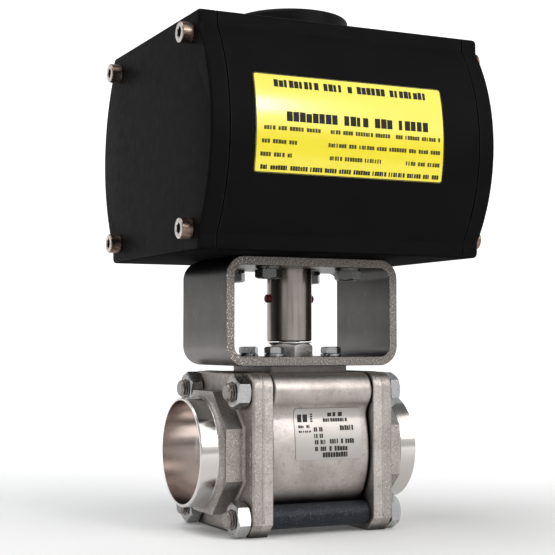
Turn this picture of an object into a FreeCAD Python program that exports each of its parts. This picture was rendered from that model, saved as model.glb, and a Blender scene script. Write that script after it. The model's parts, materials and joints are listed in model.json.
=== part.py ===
"""Pneumatic actuated ball valve, in millimetres.

A three-piece DN50 ball valve with butt-weld ends stands on its flange flats (z = 0). The pipe axis runs
along X, the stem axis is Z. A rectangular tube bracket carries a spring-return rack and pinion actuator.
The rest position is the spring position: pistons together, ball open.
"""
import FreeCAD, Part
import math
import os

V = FreeCAD.Vector
X, Y, Z = V(1, 0, 0), V(0, 1, 0), V(0, 0, 1)

# Valve
PIPE_Z = 44.0            # pipe axis above the standing face, half the flange square
END_X = 66.5             # half the end-to-end length
HUB_X = 53.5             # end of the octagonal hub
FLANGE_X = 42.6          # outer face of a flange
BODY_X = 30.5            # half the length of the centre body
HUB_AF = 67.0            # octagon across flats
HUB_ROOT_R = 2.0         # hollow curve between hub and flange
NECK_FLARE = 3.5         # hollow curve between weld stub and hub
WELD_R = 30.15           # weld end outside radius, 60.3 mm pipe
MOUTH_R = 28.5           # weld end bore radius
PORT_R = 24.0            # bore through the ball
RIM_CHAMFER = 0.6
FLANGE_OUTER_R = 1.6
FLANGE_INNER_R = 0.8
CORNER_R = 8.5           # flange, top corners
CORNER_CUT = 7.5         # flange, bottom corners
BOLT_AT = 33.9           # body bolts, from the pipe axis in Y and Z
BOLT_END = 54.4          # tip of a body bolt, from the middle
LOBE_R = 10.0            # body wall round the upper bolts
BODY_R = 40.8            # lower half of the centre body
CHEEK_R = 68.0           # flatter upper front and back of the centre body
WAIST_R = 9.0            # hollow between lobe and cheek
BODY_EDGE_R = 2.2
CAVITY_R = 36.0
BALL_R = 35.0
SEAT_GAP = 0.08
SEAT_R = 33.0
SLOT_Z = PIPE_Z + 30.0   # floor of the slot in the ball
PAD_HALF = 25.0
PAD_Z = PIPE_Z + 47.5    # top pad that carries the bracket
NECK_R = 10.45
NECK_Z = PIPE_Z + 56.0
STEM_R = 6.0
PACKING_R = 8.0
PACKING_Z = PIPE_Z + 44.0
PACKING_H = 2.6
GLAND_AF = 24.0

# Bracket
BRACKET_X = 53.0
BRACKET_Y = 32.0
BRACKET_H = 60.0
BRACKET_T = 5.0
BRACKET_CORNER = 11.0
F05 = 25.0 * math.sqrt(0.5)      # bolt offset of a 50 mm circle, four bolts at 45 degrees
F07 = 35.0 * math.sqrt(0.5)      # bolt offset of a 70 mm circle
FLOOR_Z = PAD_Z + BRACKET_T
ROOF_Z = PAD_Z + BRACKET_H - BRACKET_T

# Coupling
COUPLING_R = 13.0
COUPLING_Z = PIPE_Z + 61.0
STEM_SQUARE = 9.0
DRIVE_SQUARE = 14.0
DOT_R = 2.4
DOT_Z = PIPE_Z + 85.5

# Actuator
ACT_Z = PAD_Z + BRACKET_H        # underside
ACT_H = 123.0
MID = ACT_Z + ACT_H / 2          # axis of the pistons
TOP_Z = ACT_Z + ACT_H
ACT_X = 84.0                     # outer face of an end cover
COVER_T = 9.6
GASKET_T = 0.8
SHELL_X = ACT_X - COVER_T - GASKET_T
EDGE_Y = 68.5                    # half width at the flats along the four long edges
EDGE_FLAT = 8.0                  # height of such a flat
BULGE = 17.0                     # how far the front and back walls bow out
EDGE_R = 3.0
HALF_CHORD = ACT_H / 2 - EDGE_FLAT
BULGE_R = (HALF_CHORD ** 2 + BULGE ** 2) / (2 * BULGE)
BULGE_Y = BULGE_R - EDGE_Y - BULGE   # how far the bulge centre lies beyond the middle
CYLINDER_R = 50.0
WALL_R = 57.0
GALLERY_WALL = 14.0
GALLERY_Z = (8.0, 38.0)
COVER_SCREW = (57.0, 50.5)       # from the piston axis in Y and Z
PORT_FACE_Y = 81.5
AIR_PORT_R = 5.9
AIR_PORT_X = 12.0
AIR_PORT_DEPTH = 12.0

# Rack and pinion
MODULE = 1.5
TEETH = 18
PITCH_R = MODULE * TEETH / 2
PRESSURE = math.radians(20)
ADDENDUM = 0.92 * MODULE
DEDENDUM = 1.25 * MODULE
BACKLASH = 0.15                  # taken off each tooth
STROKE = PITCH_R * math.pi / 2
GEAR_HALF = 11.0
RACK_HALF = 9.0
PISTON_IN = 29.5                 # inner face of a piston from the middle, at rest
PISTON_T = 16.0
PISTON_R = 49.5
ARM_END = 27.5
ARM_R = 47.5
SPRINGS = 6
SPRING_AT = 33.0
SPRING_R = 7.0
WIRE_R = 1.1
SPRING_TURNS = 6
POCKET_R = 9.2
POCKET_FLOOR = PISTON_IN + 5.0
COVER_POCKET = 3.0
LOWER_JOURNAL = 16.0
UPPER_JOURNAL = 11.0
RUNNING = 0.05                   # radial clearance of a running fit

# Position indicator
DISC_R = 34.0
DIAL_TOP = TOP_Z + 4.0
CAP_Z = TOP_Z + 4.5
CAP_TOP = TOP_Z + 16.4
STUB_TOP = TOP_Z + 9.5           # two-flat end of the pinion
SCREW_SEAT = TOP_Z + 12.0
POINTER_SINK = 0.6


def box(x0, x1, y0, y1, z0, z1):
    return Part.makeBox(x1 - x0, y1 - y0, z1 - z0, V(x0, y0, z0))


def rod_x(r, x0, x1, y=0.0, z=PIPE_Z):
    return Part.makeCylinder(r, x1 - x0, V(x0, y, z), X)


def rod_y(r, y0, y1, x=0.0, z=MID):
    return Part.makeCylinder(r, y1 - y0, V(x, y0, z), Y)


def rod_z(r, z0, z1, x=0.0, y=0.0):
    return Part.makeCylinder(r, z1 - z0, V(x, y, z0), Z)


def ring_x(outer, inner, x0, x1, z=PIPE_Z):
    return rod_x(outer, x0, x1, 0, z).cut(rod_x(inner, x0 - 1, x1 + 1, 0, z))


def ring_z(outer, inner, z0, z1, x=0.0, y=0.0):
    return rod_z(outer, z0, z1, x, y).cut(rod_z(inner, z0 - 1, z1 + 1, x, y))


def square_z(side, z0, z1):
    return box(-side / 2, side / 2, -side / 2, side / 2, z0, z1)


def corners(y, z=None):
    """The four points at plus and minus y and z."""
    z = y if z is None else z
    return [(sy * y, sz * z) for sy in (-1, 1) for sz in (-1, 1)]


def prism_x(edges, x0, x1):
    """A closed outline of edges in the plane x = 0, extruded from x0 to x1."""
    face = Part.Face(Part.Wire(edges))
    face.translate(V(x0, 0, 0))
    return face.extrude(V(x1 - x0, 0, 0))


def polygon_z(points, z0, z1):
    """A polygon of (x, y) points, extruded from z0 to z1."""
    loop = [V(x, y, z0) for x, y in points]
    return Part.Face(Part.makePolygon(loop + loop[:1])).extrude(V(0, 0, z1 - z0))


def place(shape, where, along):
    """Move a shape built at the origin along +Z so that it starts at a point and runs along an axis."""
    shape.Placement = FreeCAD.Placement(V(*where), FreeCAD.Rotation(Z, along))
    return shape


def regular(sides, across_flats, height):
    """A regular prism along +Z with a flat facing +Y."""
    r = across_flats / 2 / math.cos(math.pi / sides)
    turn = math.pi / 2 + math.pi / sides
    angles = [turn + 2 * math.pi * i / sides for i in range(sides)]
    return polygon_z([(r * math.cos(a), r * math.sin(a)) for a in angles], 0, height)


def chamfered_hex(across_flats, height):
    """A hexagon along +Z whose top corners are turned off at 30 degrees."""
    corner = across_flats / math.sqrt(3)
    rim = 0.475 * across_flats
    drop = (corner - rim) * math.tan(math.radians(30))
    turned = rod_z(corner, 0, height - drop)
    turned = turned.fuse(Part.makeCone(corner, rim, drop, V(0, 0, height - drop), Z))
    return regular(6, across_flats, height).common(turned)


def shank(radius, length):
    """A bolt shank from the origin along -Z with a chamfered end."""
    tip = 0.2 * radius
    body = rod_z(radius, tip - length, 0)
    return body.fuse(Part.makeCone(radius - tip, radius, tip, V(0, 0, -length), Z))


def hex_bolt(radius, length, across_flats, head):
    return chamfered_hex(across_flats, head).fuse(shank(radius, length)).removeSplitter()


def socket_screw(radius, length, head_r, head, key, key_depth):
    body = rod_z(head_r, 0, head)
    body = body.makeChamfer(0.4, [e for e in body.Edges if e.BoundBox.ZMin > head - 0.01])
    recess = regular(6, key, key_depth + 1)
    recess.translate(V(0, 0, head - key_depth))
    return body.cut(recess).fuse(shank(radius, length)).removeSplitter()


def hex_nut(radius, across_flats, height):
    return chamfered_hex(across_flats, height).cut(rod_z(radius, -1, height + 1))


def spring_washer(radius, outer, thick):
    """A split washer along +Z."""
    split = box(0, outer + 1, -0.4, 0.4, -1, thick + 1)
    return ring_z(outer, radius, 0, thick).cut(split)


def cone_washer(z0, bore, outer, thick, lift):
    """A dished washer: the rim lies at z0 and the hole is lifted."""
    points = [(bore, z0 + lift), (outer, z0), (outer, z0 + thick), (bore, z0 + thick + lift)]
    loop = [V(r, 0, z) for r, z in points]
    return Part.Face(Part.makePolygon(loop + loop[:1])).revolve(V(0, 0, 0), Z, 360)


def edges_at_x(shape, x):
    return [e for e in shape.Edges if abs(e.BoundBox.XMin - x) < 1e-4 and e.BoundBox.XLength < 1e-4]


def edges_at_z(shape, z):
    return [e for e in shape.Edges if abs(e.BoundBox.ZMin - z) < 1e-4 and e.BoundBox.ZLength < 1e-4]


def mirror_x(shape):
    return shape.mirror(V(0, 0, 0), X)


def half_turn(shape):
    """The same part turned by 180 degrees about the stem axis."""
    copy = shape.copy()
    copy.rotate(V(0, 0, 0), Z, 180)
    return copy


def save(node, *solids):
    shape = solids[0] if len(solids) == 1 else Part.makeCompound(list(solids))
    shape.exportStep("parts/" + node + ".step")


# ---------------------------------------------------------------- valve

def flange():
    half, r, cut = PIPE_Z, CORNER_R, CORNER_CUT
    diag = r * (1 - math.sqrt(0.5))
    top, low = PIPE_Z + half, PIPE_Z - half

    def p(y, z):
        return V(0, y, z)
    edges = [
        Part.makeLine(p(-half + cut, low), p(half - cut, low)),
        Part.makeLine(p(half - cut, low), p(half, low + cut)),
        Part.makeLine(p(half, low + cut), p(half, top - r)),
        Part.Arc(p(half, top - r), p(half - diag, top - diag), p(half - r, top)).toShape(),
        Part.makeLine(p(half - r, top), p(-half + r, top)),
        Part.Arc(p(-half + r, top), p(-half + diag, top - diag), p(-half, top - r)).toShape(),
        Part.makeLine(p(-half, top - r), p(-half, low + cut)),
        Part.makeLine(p(-half, low + cut), p(-half + cut, low)),
    ]
    plate = prism_x(edges, -FLANGE_X, -BODY_X)
    plate = plate.makeFillet(FLANGE_OUTER_R, edges_at_x(plate, -FLANGE_X))
    return plate.makeFillet(FLANGE_INNER_R, edges_at_x(plate, -BODY_X))


def neck_flare():
    """Turned hollow curve that widens from the weld stub to the hub, at the left."""
    r = NECK_FLARE
    slant = r * (1 - math.sqrt(0.5))

    def p(back, up):
        return V(-HUB_X - back, 0, PIPE_Z + WELD_R + up)
    curve = Part.Arc(p(r, 0), p(slant, slant), p(0, r)).toShape()
    inner = Part.makePolygon([p(0, r), p(-1, r), p(-1, -1), p(r, -1), p(r, 0)])
    return Part.Face(Part.Wire([curve] + inner.Edges)).revolve(V(0, 0, PIPE_Z), X, 360)


def weld_end():
    """Hub and weld stub, at the left."""
    length = HUB_X - BODY_X
    hub = place(regular(8, HUB_AF, length), (-BODY_X, 0, PIPE_Z), V(-1, 0, 0))
    longer = place(regular(8, HUB_AF, length + NECK_FLARE), (-BODY_X, 0, PIPE_Z), V(-1, 0, 0))
    stub = rod_x(WELD_R, -END_X, -FLANGE_X)
    stub = stub.makeChamfer(RIM_CHAMFER, edges_at_x(stub, -END_X))
    return hub.fuse([stub, neck_flare().common(longer)]).removeSplitter()


def end_cap():
    """Flange, hub and weld stub in one casting, at the left, with a hollow curve between hub and flange."""
    cap = flange().fuse(weld_end()).removeSplitter()
    root = [e for e in edges_at_x(cap, -FLANGE_X)
            if math.hypot(e.CenterOfMass.y, e.CenterOfMass.z - PIPE_Z) < HUB_AF / 2 + 4]
    cap = cap.makeFillet(HUB_ROOT_R, root)
    cap = cap.cut(rod_x(MOUTH_R, -END_X - 1, -HUB_X + 4))
    cap = cap.cut(Part.makeCone(MOUTH_R, PORT_R, 12, V(-HUB_X + 4, 0, PIPE_Z), X))
    cap = cap.cut(rod_x(PORT_R, -HUB_X + 15, -BODY_X + 1))
    cap = cap.cut(rod_x(SEAT_R + 0.1, -BODY_X - 2, -BODY_X + 1))
    holes = [rod_x(5.5, -END_X, 0, y, PIPE_Z + z) for y, z in corners(BOLT_AT)]
    return cap.cut(holes)


def body_outline(grow):
    """Section of the centre body across the pipe, grown outwards by a small amount."""
    lobe_y, lobe_z = -BOLT_AT, BOLT_AT
    lobe, low, cheek, waist = LOBE_R + grow, BODY_R + grow, CHEEK_R + grow, WAIST_R - grow
    cheek_y = CHEEK_R - BODY_R
    # The waist circle touches the lobe circle and the cheek circle from outside.
    a, b = lobe + waist, cheek + waist
    gap = math.hypot(cheek_y - lobe_y, lobe_z)
    along = (a * a - b * b + gap * gap) / (2 * gap)
    aside = math.sqrt(a * a - along * along)
    uy, uz = (cheek_y - lobe_y) / gap, -lobe_z / gap
    cy, cz = lobe_y + along * uy + aside * uz, lobe_z + along * uz - aside * uy

    def on(y, z, r, towards_y, towards_z):
        d = math.hypot(towards_y - y, towards_z - z)
        return y + r * (towards_y - y) / d, z + r * (towards_z - z) / d
    lobe_end = on(lobe_y, lobe_z, lobe, cy, cz)
    cheek_end = on(cheek_y, 0, cheek, cy, cz)
    waist_mid = on(cy, cz, waist, (lobe_end[0] + cheek_end[0]) / 2, (lobe_end[1] + cheek_end[1]) / 2)
    cheek_mid = on(cheek_y, 0, cheek, cheek_end[0] - 1, cheek_end[1] / 2)
    left = [
        (lobe_y, lobe_z + lobe), (lobe_y - lobe, lobe_z), lobe_end,
        waist_mid, cheek_end, cheek_mid, (-low, 0),
    ]

    def arcs(side):
        pts = [V(0, side * y, PIPE_Z + z) for y, z in left]
        return [Part.Arc(*pts[i:i + 3]).toShape() for i in (0, 2, 4)]
    crown = PIPE_Z + lobe_z + lobe
    top = Part.makeLine(V(0, -BOLT_AT, crown), V(0, BOLT_AT, crown))
    base = Part.Arc(V(0, -low, PIPE_Z), V(0, 0, PIPE_Z - low), V(0, low, PIPE_Z)).toShape()
    return Part.__sortEdges__(arcs(1) + [base] + arcs(-1) + [top])


def centre_body():
    body = prism_x(body_outline(0), -BODY_X, BODY_X)
    body = body.makeFillet(BODY_EDGE_R, edges_at_x(body, -BODY_X) + edges_at_x(body, BODY_X))
    pad = box(-PAD_HALF, PAD_HALF, -PAD_HALF, PAD_HALF, PIPE_Z + 38, PAD_Z)
    pad = pad.makeFillet(3.0, [e for e in pad.Edges if e.BoundBox.ZLength > 1])
    body = body.fuse([pad, rod_z(NECK_R, PAD_Z - 1, NECK_Z)]).removeSplitter()
    body = body.cut(rod_x(CAVITY_R, -BODY_X - 1, BODY_X + 1))
    for side in (-1, 1):
        edge = side * BODY_X
        body = body.cut(rod_x(CAVITY_R + 2.5, min(edge, edge - 1.5 * side), max(edge, edge - 1.5 * side)))
    body = body.cut(rod_z(10.2, PIPE_Z + 30, PIPE_Z + 40))
    body = body.cut(rod_z(STEM_R + RUNNING, PIPE_Z + 39, PACKING_Z + 1))
    body = body.cut(rod_z(PACKING_R, PACKING_Z, NECK_Z + 1))
    upper = [rod_x(5.5, -BODY_X - 1, BODY_X + 1, s * BOLT_AT, PIPE_Z + BOLT_AT) for s in (-1, 1)]
    taps = [rod_z(3.02, PAD_Z - 11, PAD_Z + 1, x, y) for x, y in corners(F05)]
    return body.cut(upper + taps)


def nameplate():
    """A thin curved plate on the front of the centre body."""
    skin = prism_x(body_outline(0.35), -BODY_X, BODY_X).cut(prism_x(body_outline(0), -BODY_X, BODY_X))
    window = box(-16.0, 25.0, -BODY_R - 5, -30.0, PIPE_Z - 3.5, PIPE_Z + 24.5)
    window = window.makeFillet(1.5, [e for e in window.Edges if e.BoundBox.YLength > 1])
    return skin.common(window)


def ball():
    shape = Part.makeSphere(BALL_R, V(0, 0, PIPE_Z))
    shape = shape.cut(rod_x(PORT_R, -BALL_R, BALL_R))
    return shape.cut(box(-4.05, 4.05, -BALL_R, BALL_R, SLOT_Z, PIPE_Z + BALL_R + 1))


def seat():
    """Left seat ring, hollowed to the ball."""
    ring = ring_x(SEAT_R, PORT_R + 0.5, -BODY_X - 2, -18.5)
    return ring.cut(Part.makeSphere(BALL_R + SEAT_GAP, V(0, 0, PIPE_Z)))


def body_seal():
    return ring_x(CAVITY_R + 2.45, CAVITY_R + 0.05, -BODY_X + 0.05, -BODY_X + 1.45)


def stem():
    shaft = rod_z(STEM_R, PIPE_Z + 38, COUPLING_Z - 0.1)
    collar = rod_z(10.0, PIPE_Z + 36.2, PIPE_Z + 38.8)
    tang = box(-4, 4, -7, 7, SLOT_Z + 0.4, PIPE_Z + 36.2)
    square = square_z(STEM_SQUARE, COUPLING_Z - 0.1, COUPLING_Z + 19)
    square = square.common(rod_z(STEM_R, COUPLING_Z - 0.1, COUPLING_Z + 19))
    return shaft.fuse([collar, tang, square]).removeSplitter()


def packing_rings():
    rings = []
    for i in range(3):
        z = PACKING_Z + i * PACKING_H
        rings.append(ring_z(PACKING_R - 0.02, STEM_R + 0.03, z, z + PACKING_H))
    return rings


def gland_follower():
    low = PACKING_Z + 3 * PACKING_H
    tube = ring_z(PACKING_R - 0.05, STEM_R + RUNNING, low, NECK_Z + 1)
    return tube.fuse(ring_z(NECK_R - 0.5, STEM_R + RUNNING, NECK_Z + 0.2, NECK_Z + 1.2)).removeSplitter()


def gland_springs():
    """Two dished washers, rim to rim."""
    z = NECK_Z + 1.2
    lower = cone_washer(z, STEM_R + 0.3, NECK_R - 0.6, 0.5, 0.3)
    upper = lower.mirror(V(0, 0, z + 0.8), Z)
    return [lower, upper]


def gland_nut():
    low, high = FLOOR_Z + 0.2, COUPLING_Z - 1.0
    nut = place(chamfered_hex(GLAND_AF, high - low), (0, 0, low), Z)
    nut.rotate(V(0, 0, 0), Z, 18)
    nut = nut.cut(rod_z(NECK_R + 0.05, low - 1, NECK_Z + 2.9))
    return nut.cut(rod_z(STEM_R + 0.3, low, high + 1))


def lock_disc():
    return ring_z(COUPLING_R, STEM_R + 0.3, COUPLING_Z - 1.0, COUPLING_Z - 0.4)


def body_bolts():
    bolts = []
    for y, z in corners(BOLT_AT):
        bolt = hex_bolt(5.0, FLANGE_X + BOLT_END, 17.0, 6.4)
        bolts.append(place(bolt, (FLANGE_X, y, PIPE_Z + z), X))
    return bolts


def body_nuts():
    left = V(-1, 0, 0)
    return [place(hex_nut(5.0, 17.0, 8.0), (-FLANGE_X, y, PIPE_Z + z), left) for y, z in corners(BOLT_AT)]


def bolt_sleeves():
    z = PIPE_Z - BOLT_AT
    return [rod_x(6.6, -BODY_X, BODY_X, y, z).cut(rod_x(5.3, -END_X, END_X, y, z))
            for y in (-BOLT_AT, BOLT_AT)]


# ---------------------------------------------------------------- bracket and coupling

def rounded_bar(half_x, z0, z1, half_y, r):
    bar = box(-half_x, half_x, -half_y, half_y, z0, z1)
    return bar.makeFillet(r, [e for e in bar.Edges if e.BoundBox.YLength > 1])


def bracket():
    outer = rounded_bar(BRACKET_X, PAD_Z, ACT_Z, BRACKET_Y, BRACKET_CORNER)
    inner = rounded_bar(BRACKET_X - BRACKET_T, FLOOR_Z, ROOF_Z, BRACKET_Y + 1, BRACKET_CORNER - BRACKET_T)
    tube = outer.cut(inner)
    tools = [rod_z(12.0, PAD_Z - 1, FLOOR_Z + 1), rod_z(16.0, ROOF_Z - 1, ACT_Z + 1)]
    tools += [rod_z(3.3, PAD_Z - 1, FLOOR_Z + 1, x, y) for x, y in corners(F05)]
    tools += [rod_z(4.5, ROOF_Z - 1, ACT_Z + 1, x, y) for x, y in corners(F07)]
    return tube.cut(tools)


def lower_bolts():
    washer = 1.6
    bolts = [place(hex_bolt(3.0, washer + BRACKET_T + 10, 10.0, 4.0), (x, y, FLOOR_Z + washer), Z)
             for x, y in corners(F05)]
    washers = [place(spring_washer(3.1, 5.8, washer), (x, y, FLOOR_Z), Z) for x, y in corners(F05)]
    return bolts, washers


def upper_bolts():
    washer, down = 1.6, V(0, 0, -1)
    bolts = [place(hex_bolt(4.0, washer + BRACKET_T + 12, 13.0, 5.3), (x, y, ROOF_Z - washer), down)
             for x, y in corners(F07)]
    washers = [place(spring_washer(4.1, 7.2, washer), (x, y, ROOF_Z), down) for x, y in corners(F07)]
    return bolts, washers


def coupling():
    shaft = rod_z(COUPLING_R, COUPLING_Z, ACT_Z - 0.8)
    shaft = shaft.makeChamfer(0.8, edges_at_z(shaft, COUPLING_Z) + edges_at_z(shaft, ACT_Z - 0.8))
    shaft = shaft.fuse(square_z(DRIVE_SQUARE, ACT_Z - 1.5, ACT_Z + 17)).removeSplitter()
    shaft = shaft.cut(square_z(STEM_SQUARE + 0.1, COUPLING_Z - 1, COUPLING_Z + 20))
    return shaft.cut(rod_x(DOT_R, -20, -9.5, 0, DOT_Z)).cut(rod_x(DOT_R, 9.5, 20, 0, DOT_Z))


def coupling_dots():
    dots = []
    for along in (X, V(-1, 0, 0)):
        dot = rod_z(DOT_R, 0, COUPLING_R + 2.1 - 9.5)
        rim = [e for e in dot.Edges if e.BoundBox.ZMin > 1]
        dots.append(place(dot.makeFillet(1.0, rim), tuple(along * 9.5 + V(0, 0, DOT_Z)), along))
    return dots


# ---------------------------------------------------------------- actuator housing

def housing_outline(inset):
    """Section of the actuator across its length: flat top and base, bowed front and back."""
    y, z, r = EDGE_Y - inset, ACT_H / 2 - inset, BULGE_R - inset
    flat = math.sqrt(r * r - (y + BULGE_Y) ** 2)
    edge = max(EDGE_R - inset, 0.5)
    diag = edge * (1 - math.sqrt(0.5))

    def p(sy, sz, a, b):
        return V(0, sy * a, MID + sz * b)
    edges = []
    for sy in (-1, 1):
        edges.append(Part.Arc(p(sy, 1, y, flat), p(sy, 1, r - BULGE_Y, 0), p(sy, -1, y, flat)).toShape())
        for sz in (-1, 1):
            edges.append(Part.makeLine(p(sy, sz, y, flat), p(sy, sz, y, z - edge)))
            edges.append(Part.Arc(p(sy, sz, y, z - edge), p(sy, sz, y - diag, z - diag),
                                  p(sy, sz, y - edge, z)).toShape())
    for sz in (-1, 1):
        edges.append(Part.makeLine(p(-1, sz, y - edge, z), p(1, sz, y - edge, z)))
    return Part.__sortEdges__(edges)


def galleries():
    """Hollow channels along the shell, two in front and two behind the cylinder."""
    z0, z1 = GALLERY_Z
    inner = prism_x(housing_outline(GALLERY_WALL), -SHELL_X - 1, SHELL_X + 1)
    inner = inner.cut(rod_x(WALL_R, -ACT_X, ACT_X, 0, MID))
    channels = []
    for sy, sz in corners(1):
        ys, zs = sorted((sy * 35.0, sy * 80.0)), sorted((MID + sz * z0, MID + sz * z1))
        channels.append(inner.common(box(-ACT_X, ACT_X, ys[0], ys[1], zs[0], zs[1])))
    return channels


def air_passages():
    """Port face, the two air ports and their drillings, and the four threaded holes round them."""
    tools = [box(-30, 30, PORT_FACE_Y, PORT_FACE_Y + 10, MID - 40, MID + 40)]
    floor = PORT_FACE_Y - AIR_PORT_DEPTH
    tools += [rod_y(AIR_PORT_R, floor, PORT_FACE_Y + 1, x) for x in (-AIR_PORT_X, AIR_PORT_X)]
    tools.append(rod_y(3.0, CYLINDER_R - 5, floor + 1, -AIR_PORT_X))
    tools.append(rod_z(3.0, MID, MID + GALLERY_Z[0] + 4, AIR_PORT_X, floor + 1.5))
    tools += [rod_y(2.1, PORT_FACE_Y - 10, PORT_FACE_Y + 1, x, MID + z) for x, z in corners(16.0, 12.0)]
    for side in (-1, 1):
        x = sorted((side * (SHELL_X - 3), side * (SHELL_X + 1)))
        tools.append(box(x[0], x[1], 40, 60, MID + 12, MID + 20))
    return tools


def actuator_body():
    body = prism_x(housing_outline(0), -SHELL_X, SHELL_X)
    body = body.cut(rod_x(CYLINDER_R, -ACT_X, ACT_X, 0, MID)).cut(galleries())
    lower = [rod_z(19.0, ACT_Z + 1, MID - 40), rod_z(LOWER_JOURNAL + 0.6, ACT_Z - 1, ACT_Z + 2)]
    upper = [rod_z(14.0, MID + 40, TOP_Z - 1), rod_z(UPPER_JOURNAL + 0.6, TOP_Z - 2, TOP_Z + 1)]
    body = body.cut(lower + upper)
    taps = [rod_z(4.02, ACT_Z - 1, ACT_Z + 13, x, y) for x, y in corners(F07)]
    taps += [rod_z(2.1, TOP_Z - 9, TOP_Z + 1, x, y) for x, y in corners(40.0, 15.0)]
    for y, z in corners(*COVER_SCREW):
        taps.append(rod_x(3.02, SHELL_X - 16, SHELL_X + 1, y, MID + z))
        taps.append(rod_x(3.02, -SHELL_X - 1, -SHELL_X + 16, y, MID + z))
    return body.cut(taps + air_passages())


def end_cover():
    """Left end cover with its spring locating pegs."""
    inner = -ACT_X + COVER_T
    cover = prism_x(housing_outline(0), -ACT_X, inner)
    cover = cover.makeFillet(1.6, edges_at_x(cover, -ACT_X))
    cover = cover.cut(rod_x(CYLINDER_R - 1, inner - COVER_POCKET, inner + 1, 0, MID))
    pegs = [rod_x(4.5, inner - COVER_POCKET - 1, inner + 2, y, z) for y, z in spring_centres()]
    cover = cover.fuse(pegs).removeSplitter()
    holes = [rod_x(3.3, -ACT_X - 1, inner + 1, y, MID + z) for y, z in corners(*COVER_SCREW)]
    return cover.cut(holes)


def cover_gasket():
    sheet = prism_x(housing_outline(1.3), -SHELL_X - GASKET_T, -SHELL_X)
    sheet = sheet.cut(rod_x(CYLINDER_R + 0.5, -ACT_X, 0, 0, MID))
    return sheet.cut([rod_x(3.3, -ACT_X, 0, y, MID + z) for y, z in corners(*COVER_SCREW)])


def cover_screws():
    screws = []
    for y, z in corners(*COVER_SCREW):
        screw = socket_screw(3.0, 24.0, 5.5, 6.5, 5.2, 3.4)
        screws.append(place(screw, (-ACT_X, y, MID + z), V(-1, 0, 0)))
    return screws


def front_label():
    skin = prism_x(housing_outline(-0.3), -60.0, 51.0).cut(prism_x(housing_outline(0), -61.0, 52.0))
    window = box(-60.0, 51.0, -100, -60, MID - 23.0, MID + 28.0)
    window = window.makeFillet(1.5, [e for e in window.Edges if e.BoundBox.YLength > 1])
    return skin.common(window)


# ---------------------------------------------------------------- rack and pinion

def involute(base_r, radius):
    """Polar angle swept by an involute between its base circle and a radius."""
    a = math.acos(base_r / radius)
    return math.tan(a) - a


def gear():
    """Spur gear with a tooth gap facing -Y."""
    base = PITCH_R * math.cos(PRESSURE)
    tip, root = PITCH_R + ADDENDUM, PITCH_R - DEDENDUM
    half = math.pi / (2 * TEETH) - BACKLASH / (2 * PITCH_R) + involute(base, PITCH_R)
    start = base + 0.02
    radii = [start, (start + tip) / 2, tip]

    def at(r, angle):
        return V(r * math.cos(angle), r * math.sin(angle), MID - GEAR_HALF)
    edges = []
    for i in range(TEETH):
        middle = -math.pi / 2 + (i + 0.5) * 2 * math.pi / TEETH
        left = [at(r, middle - half + involute(base, r)) for r in radii]
        right = [at(r, middle + half - involute(base, r)) for r in radii]
        foot, next_foot = at(root, middle - half), at(root, middle + half)
        following = at(root, middle - half + 2 * math.pi / TEETH)
        edges += [Part.makeLine(foot, left[0]), Part.Arc(*left).toShape()]
        edges += [Part.Arc(left[2], at(tip, middle), right[2]).toShape()]
        edges += [Part.Arc(*right).toShape(), Part.makeLine(right[0], next_foot)]
        edges.append(Part.Arc(next_foot, at(root, middle + math.pi / TEETH), following).toShape())
    return Part.Face(Part.Wire(Part.__sortEdges__(edges))).extrude(V(0, 0, 2 * GEAR_HALF))


def groove_z(journal, floor, z0, z1):
    return ring_z(journal + 1, floor, z0, z1)


def pinion():
    lower = rod_z(LOWER_JOURNAL, ACT_Z + 0.6, MID - GEAR_HALF)
    upper = rod_z(UPPER_JOURNAL, MID + GEAR_HALF, TOP_Z + 3.2)
    stub = rod_z(8.0, TOP_Z + 3, STUB_TOP)
    stub = stub.common(box(-6.5, 6.5, -9, 9, TOP_Z + 3, STUB_TOP + 1))
    shape = gear().fuse([lower, upper, stub]).removeSplitter()
    shape = shape.cut(square_z(DRIVE_SQUARE + 0.1, ACT_Z - 1, ACT_Z + 20))
    shape = shape.cut(rod_z(3.02, TOP_Z - 4, STUB_TOP + 1))
    shape = shape.cut(groove_z(LOWER_JOURNAL, 13.7, ACT_Z + 4.2, ACT_Z + 6.8))
    shape = shape.cut(groove_z(UPPER_JOURNAL, 8.75, TOP_Z - 5.8, TOP_Z - 3.2))
    return shape.cut(groove_z(UPPER_JOURNAL, 10.15, TOP_Z + 1.6, TOP_Z + 2.85))


def pinion_rings():
    lower = Part.makeTorus(14.87, 1.15, V(0, 0, ACT_Z + 5.5), Z)
    upper = Part.makeTorus(9.9, 1.12, V(0, 0, TOP_Z - 4.5), Z)
    return [lower, upper]


def lower_bearing():
    return ring_z(18.98, LOWER_JOURNAL + RUNNING, ACT_Z + 1, MID - CYLINDER_R - 0.6)


def upper_bearing():
    return ring_z(13.98, UPPER_JOURNAL + RUNNING, MID + CYLINDER_R + 0.6, TOP_Z - 1)


def top_washer():
    return ring_z(16.0, UPPER_JOURNAL + 0.1, TOP_Z, TOP_Z + 1.5)


def snap_ring():
    ring = ring_z(13.2, 10.2, TOP_Z + 1.65, TOP_Z + 2.8)
    return ring.cut(box(0, 20, -2.5, 2.5, TOP_Z, TOP_Z + 5))


def rack():
    """Rack teeth on the inner side of the front arm, one tooth in the middle."""
    pitch = math.pi * MODULE
    slope = math.tan(PRESSURE)
    half = pitch / 4 - BACKLASH / 2
    tip, root = -PITCH_R + ADDENDUM, -PITCH_R - DEDENDUM
    top, foot = half - ADDENDUM * slope, half + DEDENDUM * slope
    teeth = []
    for i in range(-2, 6):
        x = i * pitch
        outline = [(x - foot, root - 1), (x - foot, root), (x - top, tip), (x + top, tip),
                   (x + foot, root), (x + foot, root - 1)]
        teeth.append(polygon_z(outline, MID - RACK_HALF, MID + RACK_HALF))
    return teeth


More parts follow.
